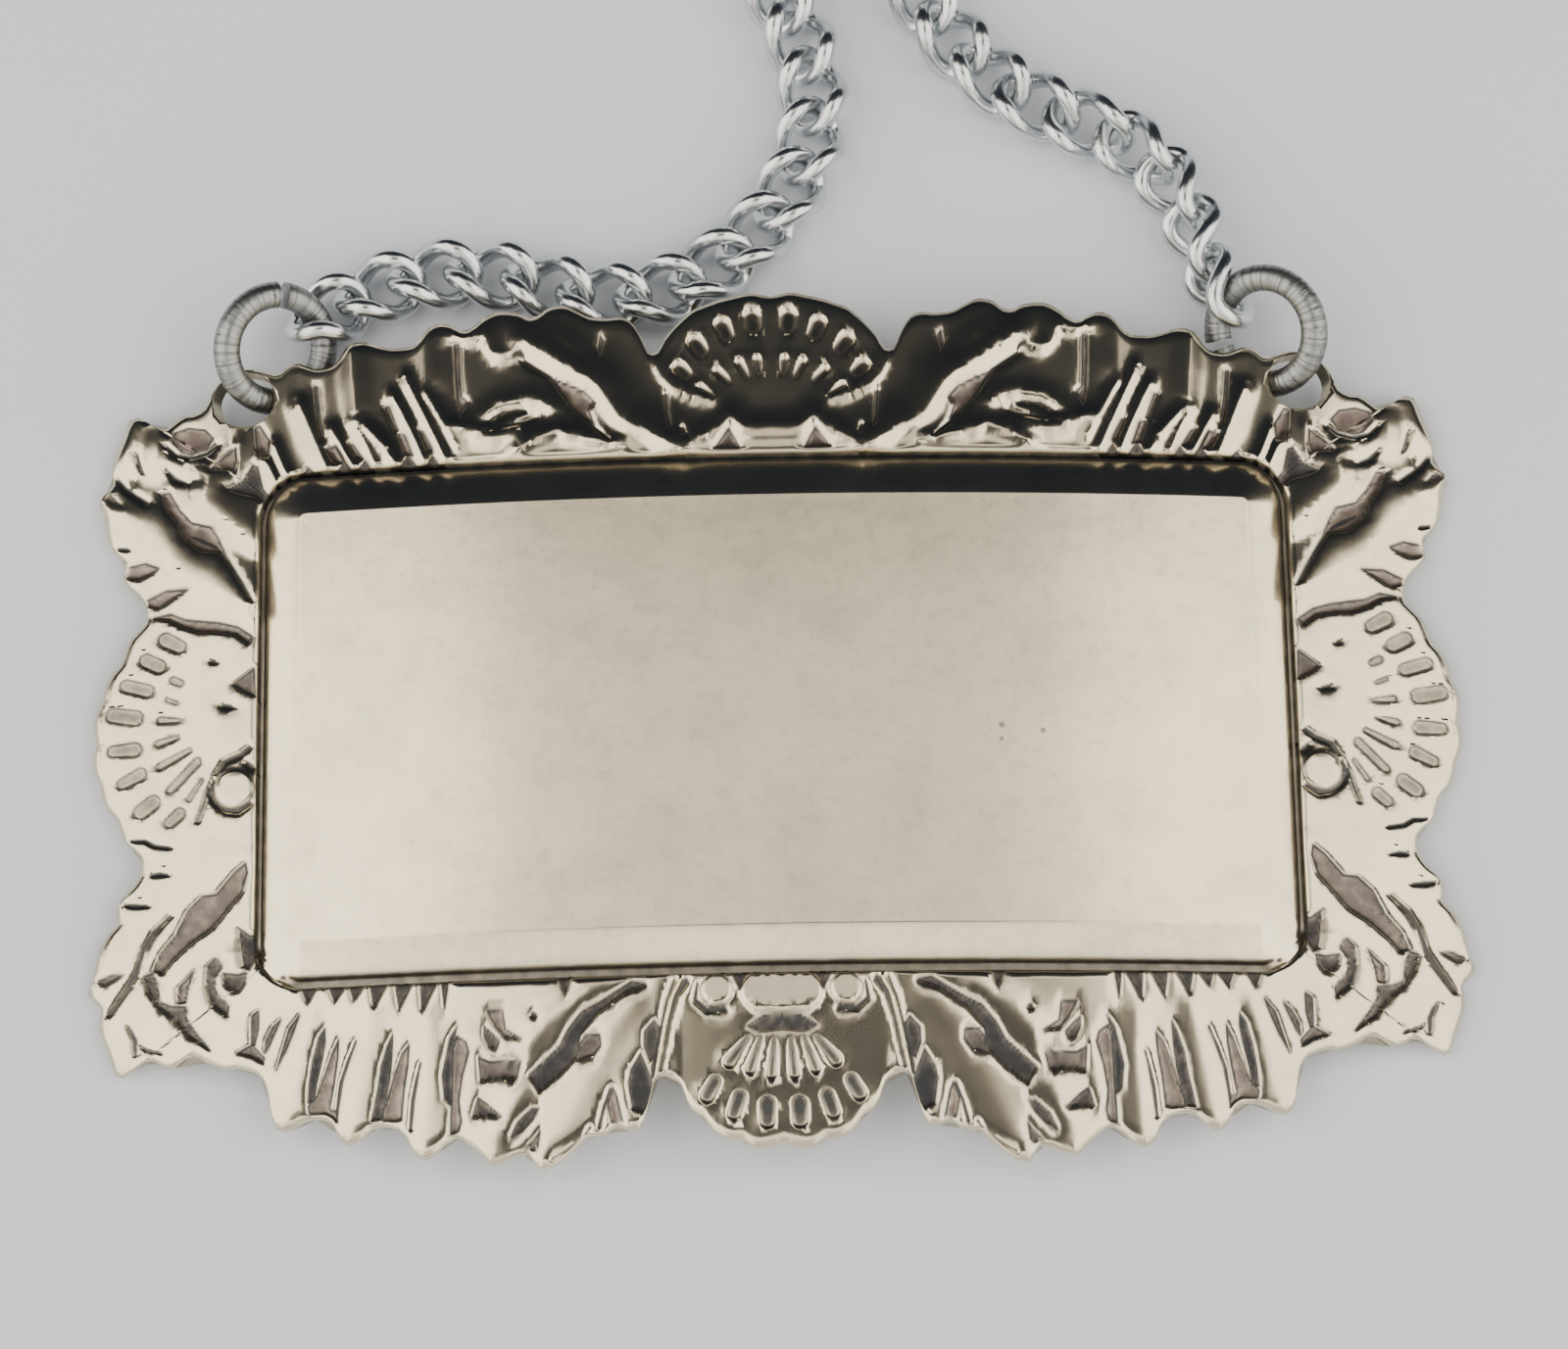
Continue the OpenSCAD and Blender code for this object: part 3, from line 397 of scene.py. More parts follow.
def to_line(x, y, line, least=0.0):
    """Distance to a line, its half width there, and on which side of its run the place is."""
    best, width, side = np.full(x.shape, far_off), np.ones(x.shape), np.ones(x.shape)
    for (ax, ay, aw), (bx, by, bw) in zip(line, line[1:]):
        run = np.array([bx - ax, by - ay])
        s = np.clip(((x - ax) * run[0] + (y - ay) * run[1]) / (run @ run), 0, 1)
        d = np.hypot(x - ax - s * run[0], y - ay - s * run[1])
        near = d < best
        best = np.where(near, d, best)
        width = np.where(near, np.maximum(aw + s * (bw - aw), least), width)
        side = np.where(near, run[0] * (y - ay) - run[1] * (x - ax), side)
    return best, width, side


def into_hollow(x, y, corners):
    """Distance inside a hollow's edge, less than nothing outside it."""
    inside = np.zeros(x.shape, bool)
    best = np.full(x.shape, far_off)
    for (ax, ay), (bx, by) in zip(corners, corners[1:] + corners[:1]):
        run = np.array([bx - ax, by - ay])
        s = np.clip(((x - ax) * run[0] + (y - ay) * run[1]) / (run @ run), 0, 1)
        best = np.minimum(best, np.hypot(x - ax - s * run[0], y - ay - s * run[1]))
        if ay != by:
            inside ^= ((ay > y) != (by > y)) & (x < (bx - ax) * (y - ay) / (by - ay) + ax)
    return np.where(inside, best, -best)


def rounded_step(d, width):
    """From 0 to 1 over a rounded edge."""
    return 0.5 + 0.5 * np.tanh(d / (2 * width))


def hump(d, width):
    return np.exp(-(d / width) ** 2)


def struck_height(x, y, hollows, cuts, bowls, folds, ridges, bosses):
    """Height of one half's ornament, with how dark it is and how much of a floor shows."""
    steep_share = 0.62
    side_shell_from, side_wear = 20, 0.06
    bowl_lip, bowl_wall = 0.09, 0.13
    hollow_edge, boss_edge = 0.045, 0.03
    height, cut, dark, floor = (np.zeros(x.shape) for _ in range(4))
    for rise, line in ridges:
        d, w, _ = to_line(x, y, line)
        height = np.maximum(height, rise * hump(d, w))
    for rise, far, line in folds:
        d, w, side = to_line(x, y, line)
        height = np.maximum(height, rise * hump(d, np.where(side < 0, steep_share * w, far)))
    for depth, line in bowls:
        (ax, ay, aw), (bx, by, bw) = line
        worn = ax > side_shell_from
        d, w, _ = to_line(x, y, line)
        past = d - w - side_wear * worn
        bowl = np.clip(1 - np.clip((past + bowl_lip) / bowl_wall, 0, 1) ** 2, 0, 1)
        run = np.hypot(bx - ax, by - ay)
        along = ((x - ax) * (bx - ax) + (y - ay) * (by - ay)) / run
        scoop = np.clip((along + aw) / (run + aw + bw), 0, 1)
        deep, rim, shown = (0.3, 0.0, 0.1) if worn else (0.1 + 0.65 * scoop, 0.03 * scoop ** 2, 0.3)
        # Tarnish and painted shade darken a slot's wall and floor, most at its shallow start and evenly on the
        # worn side shells.
        wall_dark, floor_dark = (0.8, 0.55) if worn else (0.75 * (1 - scoop ** 3), 0.95 - 0.4 * scoop ** 3)
        cut = np.maximum(cut, depth * bowl * deep)
        height = height + rim * hump(past - 0.1, 0.1)
        dark = np.maximum(dark, wall_dark * hump(past + 0.05, 0.07))
        dark = np.maximum(dark, floor_dark * rounded_step(-past - 0.1, 0.03))
        floor = np.maximum(floor, shown * bowl)
    for depth, line in cuts:
        d, w, _ = to_line(x, y, line, least_cut)
        cut = np.maximum(cut, depth * hump(d, w + 0.05))
        # Tarnish and painted shade darken the cut line.
        dark = np.maximum(dark, 0.95 * np.exp(-(d / w) ** 4))
    for depth, shade, corners in hollows:
        d = into_hollow(x, y, corners)
        sunk = rounded_step(d, hollow_edge)
        cut = np.maximum(cut, depth * sunk)
        # Tarnish and painted shade darken a hollow's edge, and its floor by the hollow's listed darkness.
        dark = np.maximum(dark, 0.9 * hump(d - 0.02, 0.055))
        dark = np.maximum(dark, (0.2 + 0.85 * shade) * sunk)
        floor = np.maximum(floor, sunk)
    for across, up, r, rise, line in bosses:
        past = np.hypot(x - across, y - up) - r
        disc = rounded_step(-past, boss_edge)
        slant = 0.045 * (x - across) if across > side_shell_from else 0.12 * (y - up)
        height = height + (rise + slant - height) * disc
        cut, dark, floor = (value * (1 - disc) for value in (cut, dark, floor))
        # Tarnish and painted shade outline the boss.
        dark = np.maximum(dark, line * hump(past - 0.05, 0.05))
    return np.stack([height - cut, dark, floor])


def ornament(x, y):
    """Height of the ornament at a place, with how dark it is and how much of a floor shows."""
    result = np.zeros((3, len(x)))
    for half, part in ((low_ornament, y < 0), (top_ornament, y >= 0)):
        result[:, part] = struck_height(np.abs(x[part]), np.abs(y[part]), *half)
    return result


def detail(x, y):
    """How often the mesh is halved at a place: twice on the edges of the ornament, once beside them."""
    beside, on_edge = 0.16, 0.065
    near = np.full(x.shape, far_off)
    for (hollows, cuts, bowls, folds, _, bosses), part in ((low_ornament, y < 0), (top_ornament, y >= 0)):
        px, py = np.abs(x[part]), np.abs(y[part])
        gaps = [np.abs(into_hollow(px, py, corners)) for _, _, corners in hollows]
        for _, line in cuts + bowls:
            d, w, _ = to_line(px, py, line, least_cut)
            gaps.append(np.maximum(d - w, 0))
        gaps += [to_line(px, py, line)[0] + 0.07 for _, _, line in folds]
        gaps += [np.abs(np.hypot(px - across, py - up) - r) for across, up, r, _, _ in bosses]
        near[part] = np.min(gaps, axis=0)
    return (near < beside).astype(int) + (near < on_edge)


def bend(x):
    return bow * (1 - (x / half_w) ** 2)


def border_swell(t, x, y):
    """The border's plain section, from a steep inner edge down to a rounded rim."""
    inner_rise, inner_share = 0.58, 0.025
    rim_drop, rim_share = 0.05, 0.04
    past_core = [np.abs(p) - np.minimum(np.abs(p), core) for p, core in zip((x, y), panel_core)]
    out = np.hypot(*past_core) - panel_r
    at_side = np.clip((np.abs(x) - 19.5) / 2.5, 0, 1)
    at_low_shell = (y < 0) * np.clip((4.8 - np.abs(x)) / 0.7, 0, 1)
    fall = 0.08 - 0.035 * at_side + 0.04 * at_low_shell
    inner_edge = 1 - np.clip(1 - t / inner_share, 0, 1) ** 2
    rim = np.clip((t - (1 - rim_share)) / rim_share, 0, 1) ** 2
    return (inner_rise - fall * out) * inner_edge - rim_drop * rim


def crown(x, y):
    """The panel's face is a little rounded both ways."""
    rise, half_across, half_up = 0.06, 19.1, 8.85
    return rise * np.clip(1 - (x / half_across) ** 2, 0, 1) * np.clip(1 - (y / half_up) ** 2, 0, 1)


def filled(x, y):
    """The groove round the panel runs out at its two lower corners."""
    across, up, reach = 20.05, -9.85, 0.85
    return np.exp(-(((np.abs(x) - across) ** 2 + (y - up) ** 2) / reach ** 2) ** 2)


# A row of places round the label has the columns across, up, height, darkness, floor, plain and out. The
# darkness is tarnish together with painted shade in the recesses and creases. Out runs from 0 at the border's
# inner edge to 1 at its rim, and is -1 off the border.
def border_row(t):
    reach = border_in + (rays[:, 4] - border_in) * t
    x, y = (rays[:, :2] + rays[:, 2:4] * reach[:, None]).T
    return np.stack([x, y, bend(x) + border_swell(t, x, y), 0 * x, 0 * x, 0 * x, 0 * x + t], axis=1)


def panel_row(reach, rise, dark):
    x, y = (rays[:, :2] + rays[:, 2:4] * np.broadcast_to(reach, around)[:, None]).T
    level = filled(x, y)
    dark, rise = np.minimum(1, dark) * (1 - level), np.maximum(rise, 0.3 * level)
    # The row's darkness, tarnish with painted shade, also sets its floor colour and lessens its panel colour.
    return np.stack([x, y, bend(x) + rise, dark, 0.8 * dark, 1 - dark, 0 * x - 1], axis=1)


front = [border_row(t) for t in (*np.linspace(1, 0.1, 18), 0.06, 0.027, 0.013, 0)]
# Tarnish and painted shade in the groove and at the bevel's foot: darkest above the panel, where they face the
# dark far side, less below, and least at the sides, which face the soft boxes.
groove_patina_and_shade = 0.58 + 0.24 * low_way + 0.77 * top_way
for share, dark in ((0.8, 0.66), (0.4, 0.7), (0.12, 0.78)):
    front.append(panel_row(panel_foot + (border_in - panel_foot) * share, 0.0, dark * groove_patina_and_shade))
front.append(panel_row(panel_foot, 0.1, 0.72 * groove_patina_and_shade))
bevel_foot, bevel_top = panel_foot - 0.05, panel_r - 0.2 - bevel_w
upright_share = 0.28
# The bevel's lowest rows are painted darker, as shade in the crease together with its tarnish.
for s, dark in ((0, 0.6), (0.1, 0.25), (0.3, 0), (0.52, 0), (0.76, 0), (0.98, 0), (1.0, 0)):
    climb = upright_share + (1 - upright_share) * (1 - (1 - s) ** 1.15)
    front.append(panel_row(bevel_foot * (1 - s) + bevel_top * s, bevel_rise * climb, dark * groove_patina_and_shade))
    if s == 0:
        bevel_start = front[-1]
inner = front[-1][::4]
quarter_around = len(inner)
panel = []
for s in (0.998, *np.linspace(0.955, 0.06, 15)):
    x, y = inner[:, 0] * s, inner[:, 1] * s
    level = bend(x) + bevel_rise + crown(x, y)
    panel.append(np.stack([x, y, level, 0 * x, 0 * x, 0 * x + 1, 0 * x - 1], axis=1))
middle = np.array([[0, 0, bow + bevel_rise + crown(0, 0), 0, 0, 1, -1]])
lower = np.array([0, 0, sheet_t, 0, 0, 0, 0])
back = []
for t in (1.0, 0.9, 0.7, 0.5, 0.3, 0.12, 0.0):
    row = border_row(t)[::4]
    shows_through = 0.3 if 0.2 < t < 0.8 else 0
    row[:, 2] -= sheet_t + shows_through * np.maximum(0, -ornament(row[:, 0], row[:, 1])[0])
    row[:, 3], row[:, 6] = 0.25, -1
    back.append(row)
back += [row - lower for row in (bevel_start[::4], inner, *panel[::3])]
edge_row = front[0] - lower / 2
edge_row[:, :2] += 0.06 * rays[:, 2:4]
edge_row[:, 6] = -1

spots = np.concatenate([edge_row, *front, *panel, middle, *back, middle - lower])
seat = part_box("label_sheet")[0][2] / MM - spots[:, 2].min()
spots[:, 2] += seat


def rows_of_faces(first, rows, count):
    """Joins rows of places, each to the next."""
    i = np.arange(count)
    j = (i + 1) % count
    starts = [first + k * count for k in range(rows - 1)]
    return [np.stack([a + i, a + j, a + count + j, a + count + i], axis=1) for a in starts]


def fewer_faces(many, few, count):
    """Joins a row to the next one in, which has a quarter of its places."""
    i = np.arange(count)
    j = (i + 1) % count
    a = [many + (4 * i + k) % (4 * count) for k in range(5)]
    corners = [(a[0], a[1], few + i), (a[1], a[2], few + i), (a[2], few + j, few + i),
               (a[2], a[3], few + j), (a[3], a[4], few + j)]
    return [np.stack(c, axis=1) for c in corners]


def last_faces(row, tip, count):
    i = np.arange(count)
    return [np.stack([row + i, row + (i + 1) % count, np.full(count, tip)], axis=1)]


full_rows = 1 + len(front)
panel_at = full_rows * around
tip = panel_at + len(panel) * quarter_around
back_at = tip + 1
back_tip = back_at + len(back) * quarter_around
faces = rows_of_faces(0, full_rows, around)
faces += fewer_faces(panel_at - around, panel_at, quarter_around)
faces += rows_of_faces(panel_at, len(panel), quarter_around)
faces += last_faces(tip - quarter_around, tip, quarter_around)
back_faces = fewer_faces(0, back_at, quarter_around)
back_faces += rows_of_faces(back_at, len(back), quarter_around)
back_faces += last_faces(back_tip - quarter_around, back_tip, quarter_around)
faces += [f[:, ::-1] for f in back_faces]

sheet_mesh = bpy.data.meshes.new("label_sheet_struck")
sheet_mesh.from_pydata((spots[:, :3] * MM).tolist(), [], [f for group in faces for f in group.tolist()])
for name, column in (("tarnish_and_shade", 3), ("floor", 4), ("plain", 5), ("out", 6)):
    values = spots[:, column].astype(np.float32)
    sheet_mesh.attributes.new(name, "FLOAT", "POINT").data.foreach_set("value", values)

# The mesh is made finer along the edges of the ornament, and only then takes the ornament's height.
fine = bmesh.new()
fine.from_mesh(sheet_mesh)
out = fine.verts.layers.float["out"]
for level in (1, 2):
    border = [f for f in fine.faces if min(v[out] for v in f.verts) >= 0]
    x, y, _ = np.array([f.calc_center_median() for f in border]).T / MM
    edges = {e for f, need in zip(border, detail(x, y)) if need >= level for e in f.edges}
    bmesh.ops.subdivide_edges(fine, edges=list(edges), cuts=1, use_grid_fill=True)
fine.to_mesh(sheet_mesh)
fine.free()
spots = np.empty(len(sheet_mesh.vertices) * 3)
out, tarnish_and_shade, floor = (np.empty(len(sheet_mesh.vertices), np.float32) for _ in range(3))
sheet_mesh.vertices.foreach_get("co", spots)
for name, values in (("out", out), ("tarnish_and_shade", tarnish_and_shade), ("floor", floor)):
    sheet_mesh.attributes[name].data.foreach_get("value", values)
spots = spots.reshape(-1, 3)
border = out >= 0
x, y = spots[border, :2].T / MM
t = out[border]
height, dark, ground = ornament(x, y)
# The ornament fades out at the border's inner edge, and is worn at the rim.
hold = np.clip(t / 0.01, 0, 1) * np.clip((1.0 - t) / 0.04, 0.35, 1)
fill = filled(x, y)
swell = np.maximum(border_swell(t, x, y), 0.7 * fill - 0.4)
# Tarnish and painted shade: a dark line along the border's inner edge, where it meets the groove, fading where
# the groove is filled.
inner_dark = 0.9 * np.clip(1.4 - t / 0.018, 0, 1) * (1 - fill)
spots[border, 2] = (bend(x) + swell + height * hold + seat) * MM
# Tarnish and painted shade: the ornament's darkness in its recesses is kept on the sheet for the silver's
# colour.
tarnish_and_shade[border] = np.maximum(dark * hold, inner_dark)
floor[border] = ground * hold
sheet_mesh.vertices.foreach_set("co", spots.ravel())
for name, values in (("tarnish_and_shade", tarnish_and_shade), ("floor", floor)):
    sheet_mesh.attributes[name].data.foreach_set("value", values)
sheet_mesh.shade_smooth()
struck_sheet = bpy.data.objects.new("label_sheet_struck", sheet_mesh)
bpy.context.collection.objects.link(struck_sheet)

# The holes are pierced with a round punch, and lean with the rings that hang in them.
hole_r = 1.2
punch_len = 6
joints = {j["name"]: j for j in frame["joints"]}
for side in ("left", "right"):
    joint = joints[side + "_ring_swivel"]
    bpy.ops.mesh.primitive_cylinder_add(vertices=64, radius=hole_r * MM, depth=punch_len * MM)
    punch = bpy.context.object
    lean = Vector(joint["axis"]).to_track_quat("Z", "Y").to_matrix().to_4x4()
    punch.matrix_world = Matrix.Translation(joint["pos_m"]) @ lean
    pierce = struck_sheet.modifiers.new("pierce", "BOOLEAN")
    pierce.operation, pierce.solver, pierce.object = "DIFFERENCE", "EXACT", punch
    bpy.context.view_layer.update()
    ready = struck_sheet.evaluated_get(bpy.context.evaluated_depsgraph_get())
    pierced = bpy.data.meshes.new_from_object(ready)
    struck_sheet.modifiers.clear()
    struck_sheet.data = pierced
    bpy.data.objects.remove(punch)


class Shade:
    """One socket of a material. Sums of shades add Math nodes, and node() adds any other node."""

    def __init__(self, tree, socket):
        self.tree, self.socket = tree, socket

    def node(self, kind, settings, sockets, out=0):
        made = self.tree.nodes.new(kind)
        for name, value in settings.items():
            setattr(made, name, value)
        for name, value in sockets.items():
            if isinstance(value, Shade):
                self.tree.links.new(value.socket, made.inputs[name])
            else:
                made.inputs[name].default_value = value
        return Shade(self.tree, made.outputs[out])

    def math(self, operation, a, b):
        return self.node("ShaderNodeMath", {"operation": operation}, {0: a, 1: b})

    def __add__(self, other):
        return self.math("ADD", self, other)

    def __sub__(self, other):
        return self.math("SUBTRACT", self, other)

    def __mul__(self, other):
        return self.math("MULTIPLY", self, other)

    __radd__, __rmul__ = __add__, __mul__

    def band(self, low, high):
        sockets = {0: self, 1: low, 2: high}
        return self.node("ShaderNodeMapRange", {"interpolation_type": "SMOOTHSTEP"}, sockets)

    def mix(self, first, second):
        return self.node("ShaderNodeMix", {"data_type": "RGBA"}, {0: self, 6: first, 7: second}, 2)

    def noise(self, scale, detail=3.0, rough=0.55):
        sockets = {"Vector": self, "Scale": scale, "Detail": detail, "Roughness": rough}
        return self.node("ShaderNodeTexNoise", {}, sockets)

    def stretched(self, size, turn=0.0):
        return self.node("ShaderNodeMapping", {}, {"Vector": self, "Scale": size, "Rotation": (0, 0, turn)})

    def attribute(self, name):
        return self.node("ShaderNodeAttribute", {"attribute_name": name}, {}, 2)


def new_metal(name, fixed):
    """A material with these even values. Gives the material, its shader and the place on the piece."""
    material = bpy.data.materials.new(name)
    material.use_nodes = True
    tree = material.node_tree
    shader = tree.nodes["Principled BSDF"]
    for socket, value in fixed.items():
        shader.inputs[socket].default_value = value
    return material, shader, Shade(tree, tree.nodes.new("ShaderNodeTexCoord").outputs["Object"])


def wire(shader, **sockets):
    for name, shade in sockets.items():
        shade.tree.links.new(shade.socket, shader.inputs[name.replace("_", " ")])


struck_silver, shader, place = new_metal("struck_silver", {"Metallic": 1.0})
tarnish_and_shade, floor, plain = place.attribute("tarnish_and_shade"), place.attribute("floor"), place.attribute("plain")
bloom = place.noise(140.0, 4.0)
specks = place.noise(5200.0, 2.0).band(0.66, 0.76) * place.noise(260.0).band(0.48, 0.62)
rub = place.stretched((900.0, 9000.0, 900.0), 0.5).noise(1.0, 3.0)
rub = rub + place.stretched((8000.0, 700.0, 700.0), -0.25).noise(1.0, 3.0)
# Tarnish and painted shade: the sheet's darkness, broken up by noise, becomes a mask that turns the silver
# nearly black in recesses, creases and the groove.
patina_and_shade_mask = (tarnish_and_shade * (0.6 + 0.7 * place.noise(1700.0, 4.0))).band(0.06, 0.85)
silver = bloom.band(0.35, 0.7).mix((0.77, 0.69, 0.51, 1), (0.69, 0.615, 0.46, 1))
silver = (place.noise(900.0, 5.0, 0.65).band(0.45, 0.75) * 0.35).mix(silver, (0.52, 0.465, 0.36, 1))
silver = (plain * 0.7).mix(silver, (0.96, 0.86, 0.635, 1))
silver = (plain * place.noise(330.0, 6.0, 0.65).band(0.4, 0.68) * 0.45).mix(silver, (0.62, 0.56, 0.44, 1))
silver = (plain * place.noise(1600.0, 6.0, 0.7).band(0.46, 0.72) * 0.32).mix(silver, (0.5, 0.455, 0.36, 1))
flat = place.stretched((1.0, 1.0, 0.0))
for across, up, r in ((8.93, -0.87, 0.14), (8.9, -1.44, 0.1), (10.57, -1.09, 0.12)):
    pit = (across * MM, up * MM, 0)
    gap = flat.node("ShaderNodeVectorMath", {"operation": "DISTANCE"}, {0: flat, 1: pit}, 1)
    silver = (gap.band(1.3 * r * MM, 0.4 * r * MM) * 0.8).mix(silver, (0.2, 0.18, 0.15, 1))
silver = (specks * 0.35).mix(silver, (0.36, 0.33, 0.30, 1))
uneven = 0.65 + 0.35 * place.noise(1900.0, 4.0).band(0.2, 0.6)
# Sunk floors take a brown tone; in the groove round the panel this follows its tarnish and painted shade.
silver = (floor * uneven).mix(silver, (0.22, 0.175, 0.155, 1))
# Painted shade with tarnish: the masked places take a near-black colour.
silver = (patina_and_shade_mask * 0.95).mix(silver, (0.045, 0.05, 0.055, 1))
dull = 0.15 + 0.07 * bloom + plain * (0.03 * rub - 0.02) + 0.22 * floor + 0.22 * patina_and_shade_mask
hammered = place.noise(420.0, 2.0) * 0.5 + place.noise(5200.0, 2.0) * 0.05 + rub * plain * 0.03
relief = place.node("ShaderNodeBump", {}, {"Strength": 0.12, "Distance": 0.0001, "Height": hammered})
wire(shader, Base_Color=silver, Roughness=dull, Normal=relief)
struck_sheet.data.materials.clear()
struck_sheet.data.materials.append(struck_silver)
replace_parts(struck_sheet, "label_sheet")
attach(struck_sheet, "label")

# The jump rings. Each is one turn of drawn silver wire, sawn off the coil and closed through its hole
# by hand, so that the ends still show a split. The wire keeps fine marks across it from the pliers.
ring_wire = 1.1
ring_middle_r = 2.2


def new_tree(name, sizes):
    """A geometry tree with named sizes. Gives the tree, a way to add nodes, and its sizes by name."""
    tree = bpy.data.node_groups.new(name, "GeometryNodeTree")
    tree.interface.new_socket("Geometry", in_out="OUTPUT", socket_type="NodeSocketGeometry")
    for size, kind in sizes.items():
        tree.interface.new_socket(size, in_out="INPUT", socket_type=kind)
    given = tree.nodes.new("NodeGroupInput")

    def add(kind, settings, sockets):
        made = tree.nodes.new(kind)
        for key, value in settings.items():
            setattr(made, key, value)
        for key, value in sockets.items():
            if isinstance(value, bpy.types.NodeSocket):
                tree.links.new(value, made.inputs[key])
            else:
                made.inputs[key].default_value = value
        return made

    return tree, add, given.outputs


def as_wire(tree, add, size, curve, sides, capped):
    """Ends a tree: its curve becomes round wire, which is laid in its place and takes its finish."""
    half = add("ShaderNodeMath", {"operation": "MULTIPLY"}, {0: size["Wire"], 1: 0.5})
    section = add("GeometryNodeCurvePrimitiveCircle", {"mode": "RADIUS"},
                  {"Resolution": sides, "Radius": half.outputs[0]})
    drawn = add("GeometryNodeCurveToMesh", {},
                {"Curve": curve, "Profile Curve": section.outputs["Curve"], "Fill Caps": capped})
    rounded = add("GeometryNodeSetShadeSmooth", {}, {"Geometry": drawn.outputs["Mesh"]})
    laid = add("GeometryNodeTransform", {}, {
        "Geometry": rounded.outputs["Geometry"], "Translation": size["Place"], "Rotation": size["Lie"]})
    real = add("GeometryNodeRealizeInstances", {}, {"Geometry": laid.outputs["Geometry"]})
    coated = add("GeometryNodeSetMaterial", {},
                 {"Geometry": real.outputs["Geometry"], "Material": size["Finish"]})
    tree.links.new(coated.outputs["Geometry"], add("NodeGroupOutput", {}, {}).inputs["Geometry"])


def finished(tree, name, values):
    """Runs a geometry tree with these sizes and keeps its result as a plain mesh at the origin."""
    maker = bpy.data.objects.new(name, bpy.data.meshes.new(name))
    bpy.context.collection.objects.link(maker)
    made = maker.modifiers.new("make", "NODES")
    made.node_group = tree
    for item in tree.interface.items_tree:
        if item.in_out == "INPUT" and item.name in values:
            made[item.identifier] = values[item.name]
    bpy.context.view_layer.update()
    mesh = bpy.data.meshes.new_from_object(maker.evaluated_get(bpy.context.evaluated_depsgraph_get()))
    maker.modifiers.clear()
    maker.data = mesh
    return maker


def node_points(node):
    """The separate corner points of a solid, in mm."""
    mesh = frame["nodes"][node].data
    flat = np.empty(len(mesh.vertices) * 3)
    mesh.vertices.foreach_get("co", flat)
    return np.unique(np.round(flat.reshape(-1, 3) / MM, 4), axis=0)


def own_axes(points):
    """The middle of a solid's points, and its long, middle and short directions."""
    middle = points.mean(axis=0)
    _, _, ways = np.linalg.svd(points - middle)
    ways[2] = np.cross(ways[0], ways[1])
    return middle, ways


def turned_to(ways):
    return Matrix(np.array(ways).T.tolist()).to_euler()


wire_silver, shader, place = new_metal("drawn_wire_silver", {"Metallic": 1.0})
along, film = place.attribute("along"), place.noise(900.0, 3.0)
plier_marks = along.node("ShaderNodeTexNoise", {"noise_dimensions": "1D"},
                         {"W": along, "Scale": 5200.0, "Detail": 3.0, "Roughness": 0.6})
pits = place.noise(3800.0, 3.0)
dirt = pits.band(0.55, 0.7) * 0.5 + plier_marks.band(0.45, 0.65) * 0.6
# Painted shade: the wire's silver is coloured darker than bright silver, to stand in for dark surroundings
# that it would otherwise reflect.
silver = dirt.mix((0.30, 0.312, 0.312, 1), (0.09, 0.095, 0.095, 1))
dents = plier_marks * 0.8 + pits * 0.4
relief = place.node("ShaderNodeBump", {}, {"Strength": 0.5, "Distance": 0.00006, "Height": dents})
wire(shader, Base_Color=silver, Roughness=0.26 + 0.2 * film + 0.12 * dirt, Normal=relief)

ring_tree, add, size = new_tree("bent_ring", {
    "Ring radius": "NodeSocketFloat", "Wire": "NodeSocketFloat", "Turn": "NodeSocketFloat",
    "Place": "NodeSocketVector", "Lie": "NodeSocketRotation", "Finish": "NodeSocketMaterial"})
turn_of_wire = add("GeometryNodeCurveArc", {"mode": "RADIUS"},
                   {"Resolution": 120, "Radius": size["Ring radius"], "Sweep Angle": size["Turn"]})
measure = add("GeometryNodeSplineParameter", {}, {})
noted = add("GeometryNodeStoreNamedAttribute", {"data_type": "FLOAT", "domain": "POINT"},
            {"Geometry": turn_of_wire.outputs["Curve"], "Name": "along", "Value": measure.outputs["Length"]})
as_wire(ring_tree, add, size, noted.outputs["Geometry"], 28, True)

for side in ("left", "right"):
    points = node_points(side + "_jump_ring")
    middle, ways = own_axes(points)
    flat = (points - middle) @ ways[:2].T
    circle = np.column_stack([2 * flat, np.ones(len(flat))])
    fit = np.linalg.lstsq(circle, (flat ** 2).sum(axis=1), rcond=None)[0][:2]
    middle = middle + fit @ ways[:2]
    angles = np.sort(np.arctan2(*(flat - fit).T[::-1]))
    gaps = np.diff(np.append(angles, angles[0] + 2 * math.pi))
    wide = int(gaps.argmax())
    start = angles[(wide + 1) % len(angles)]
    first_way = ways[0] * math.cos(start) + ways[1] * math.sin(start)
    second_way = ways[1] * math.cos(start) - ways[0] * math.sin(start)
    ring = finished(ring_tree, side + "_ring_wire", {
        "Ring radius": ring_middle_r * MM, "Wire": ring_wire * MM, "Turn": 2 * math.pi - gaps[wide],
        "Place": (middle * MM).tolist(), "Lie": turned_to([first_way, second_way, ways[2]]),
        "Finish": wire_silver})
    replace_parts(ring, side + "_jump_ring")
    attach(ring, side + "_ring")

# The curb chain. Each link is round silver wire, soldered into an oval and twisted so that the links
# lie flat against each other. Its two strands run from the rings towards each other.
link_wire = 0.76
link_len = 4.1
link_wid = 3.1
link_twist = 45.0
twist_share = 0.375

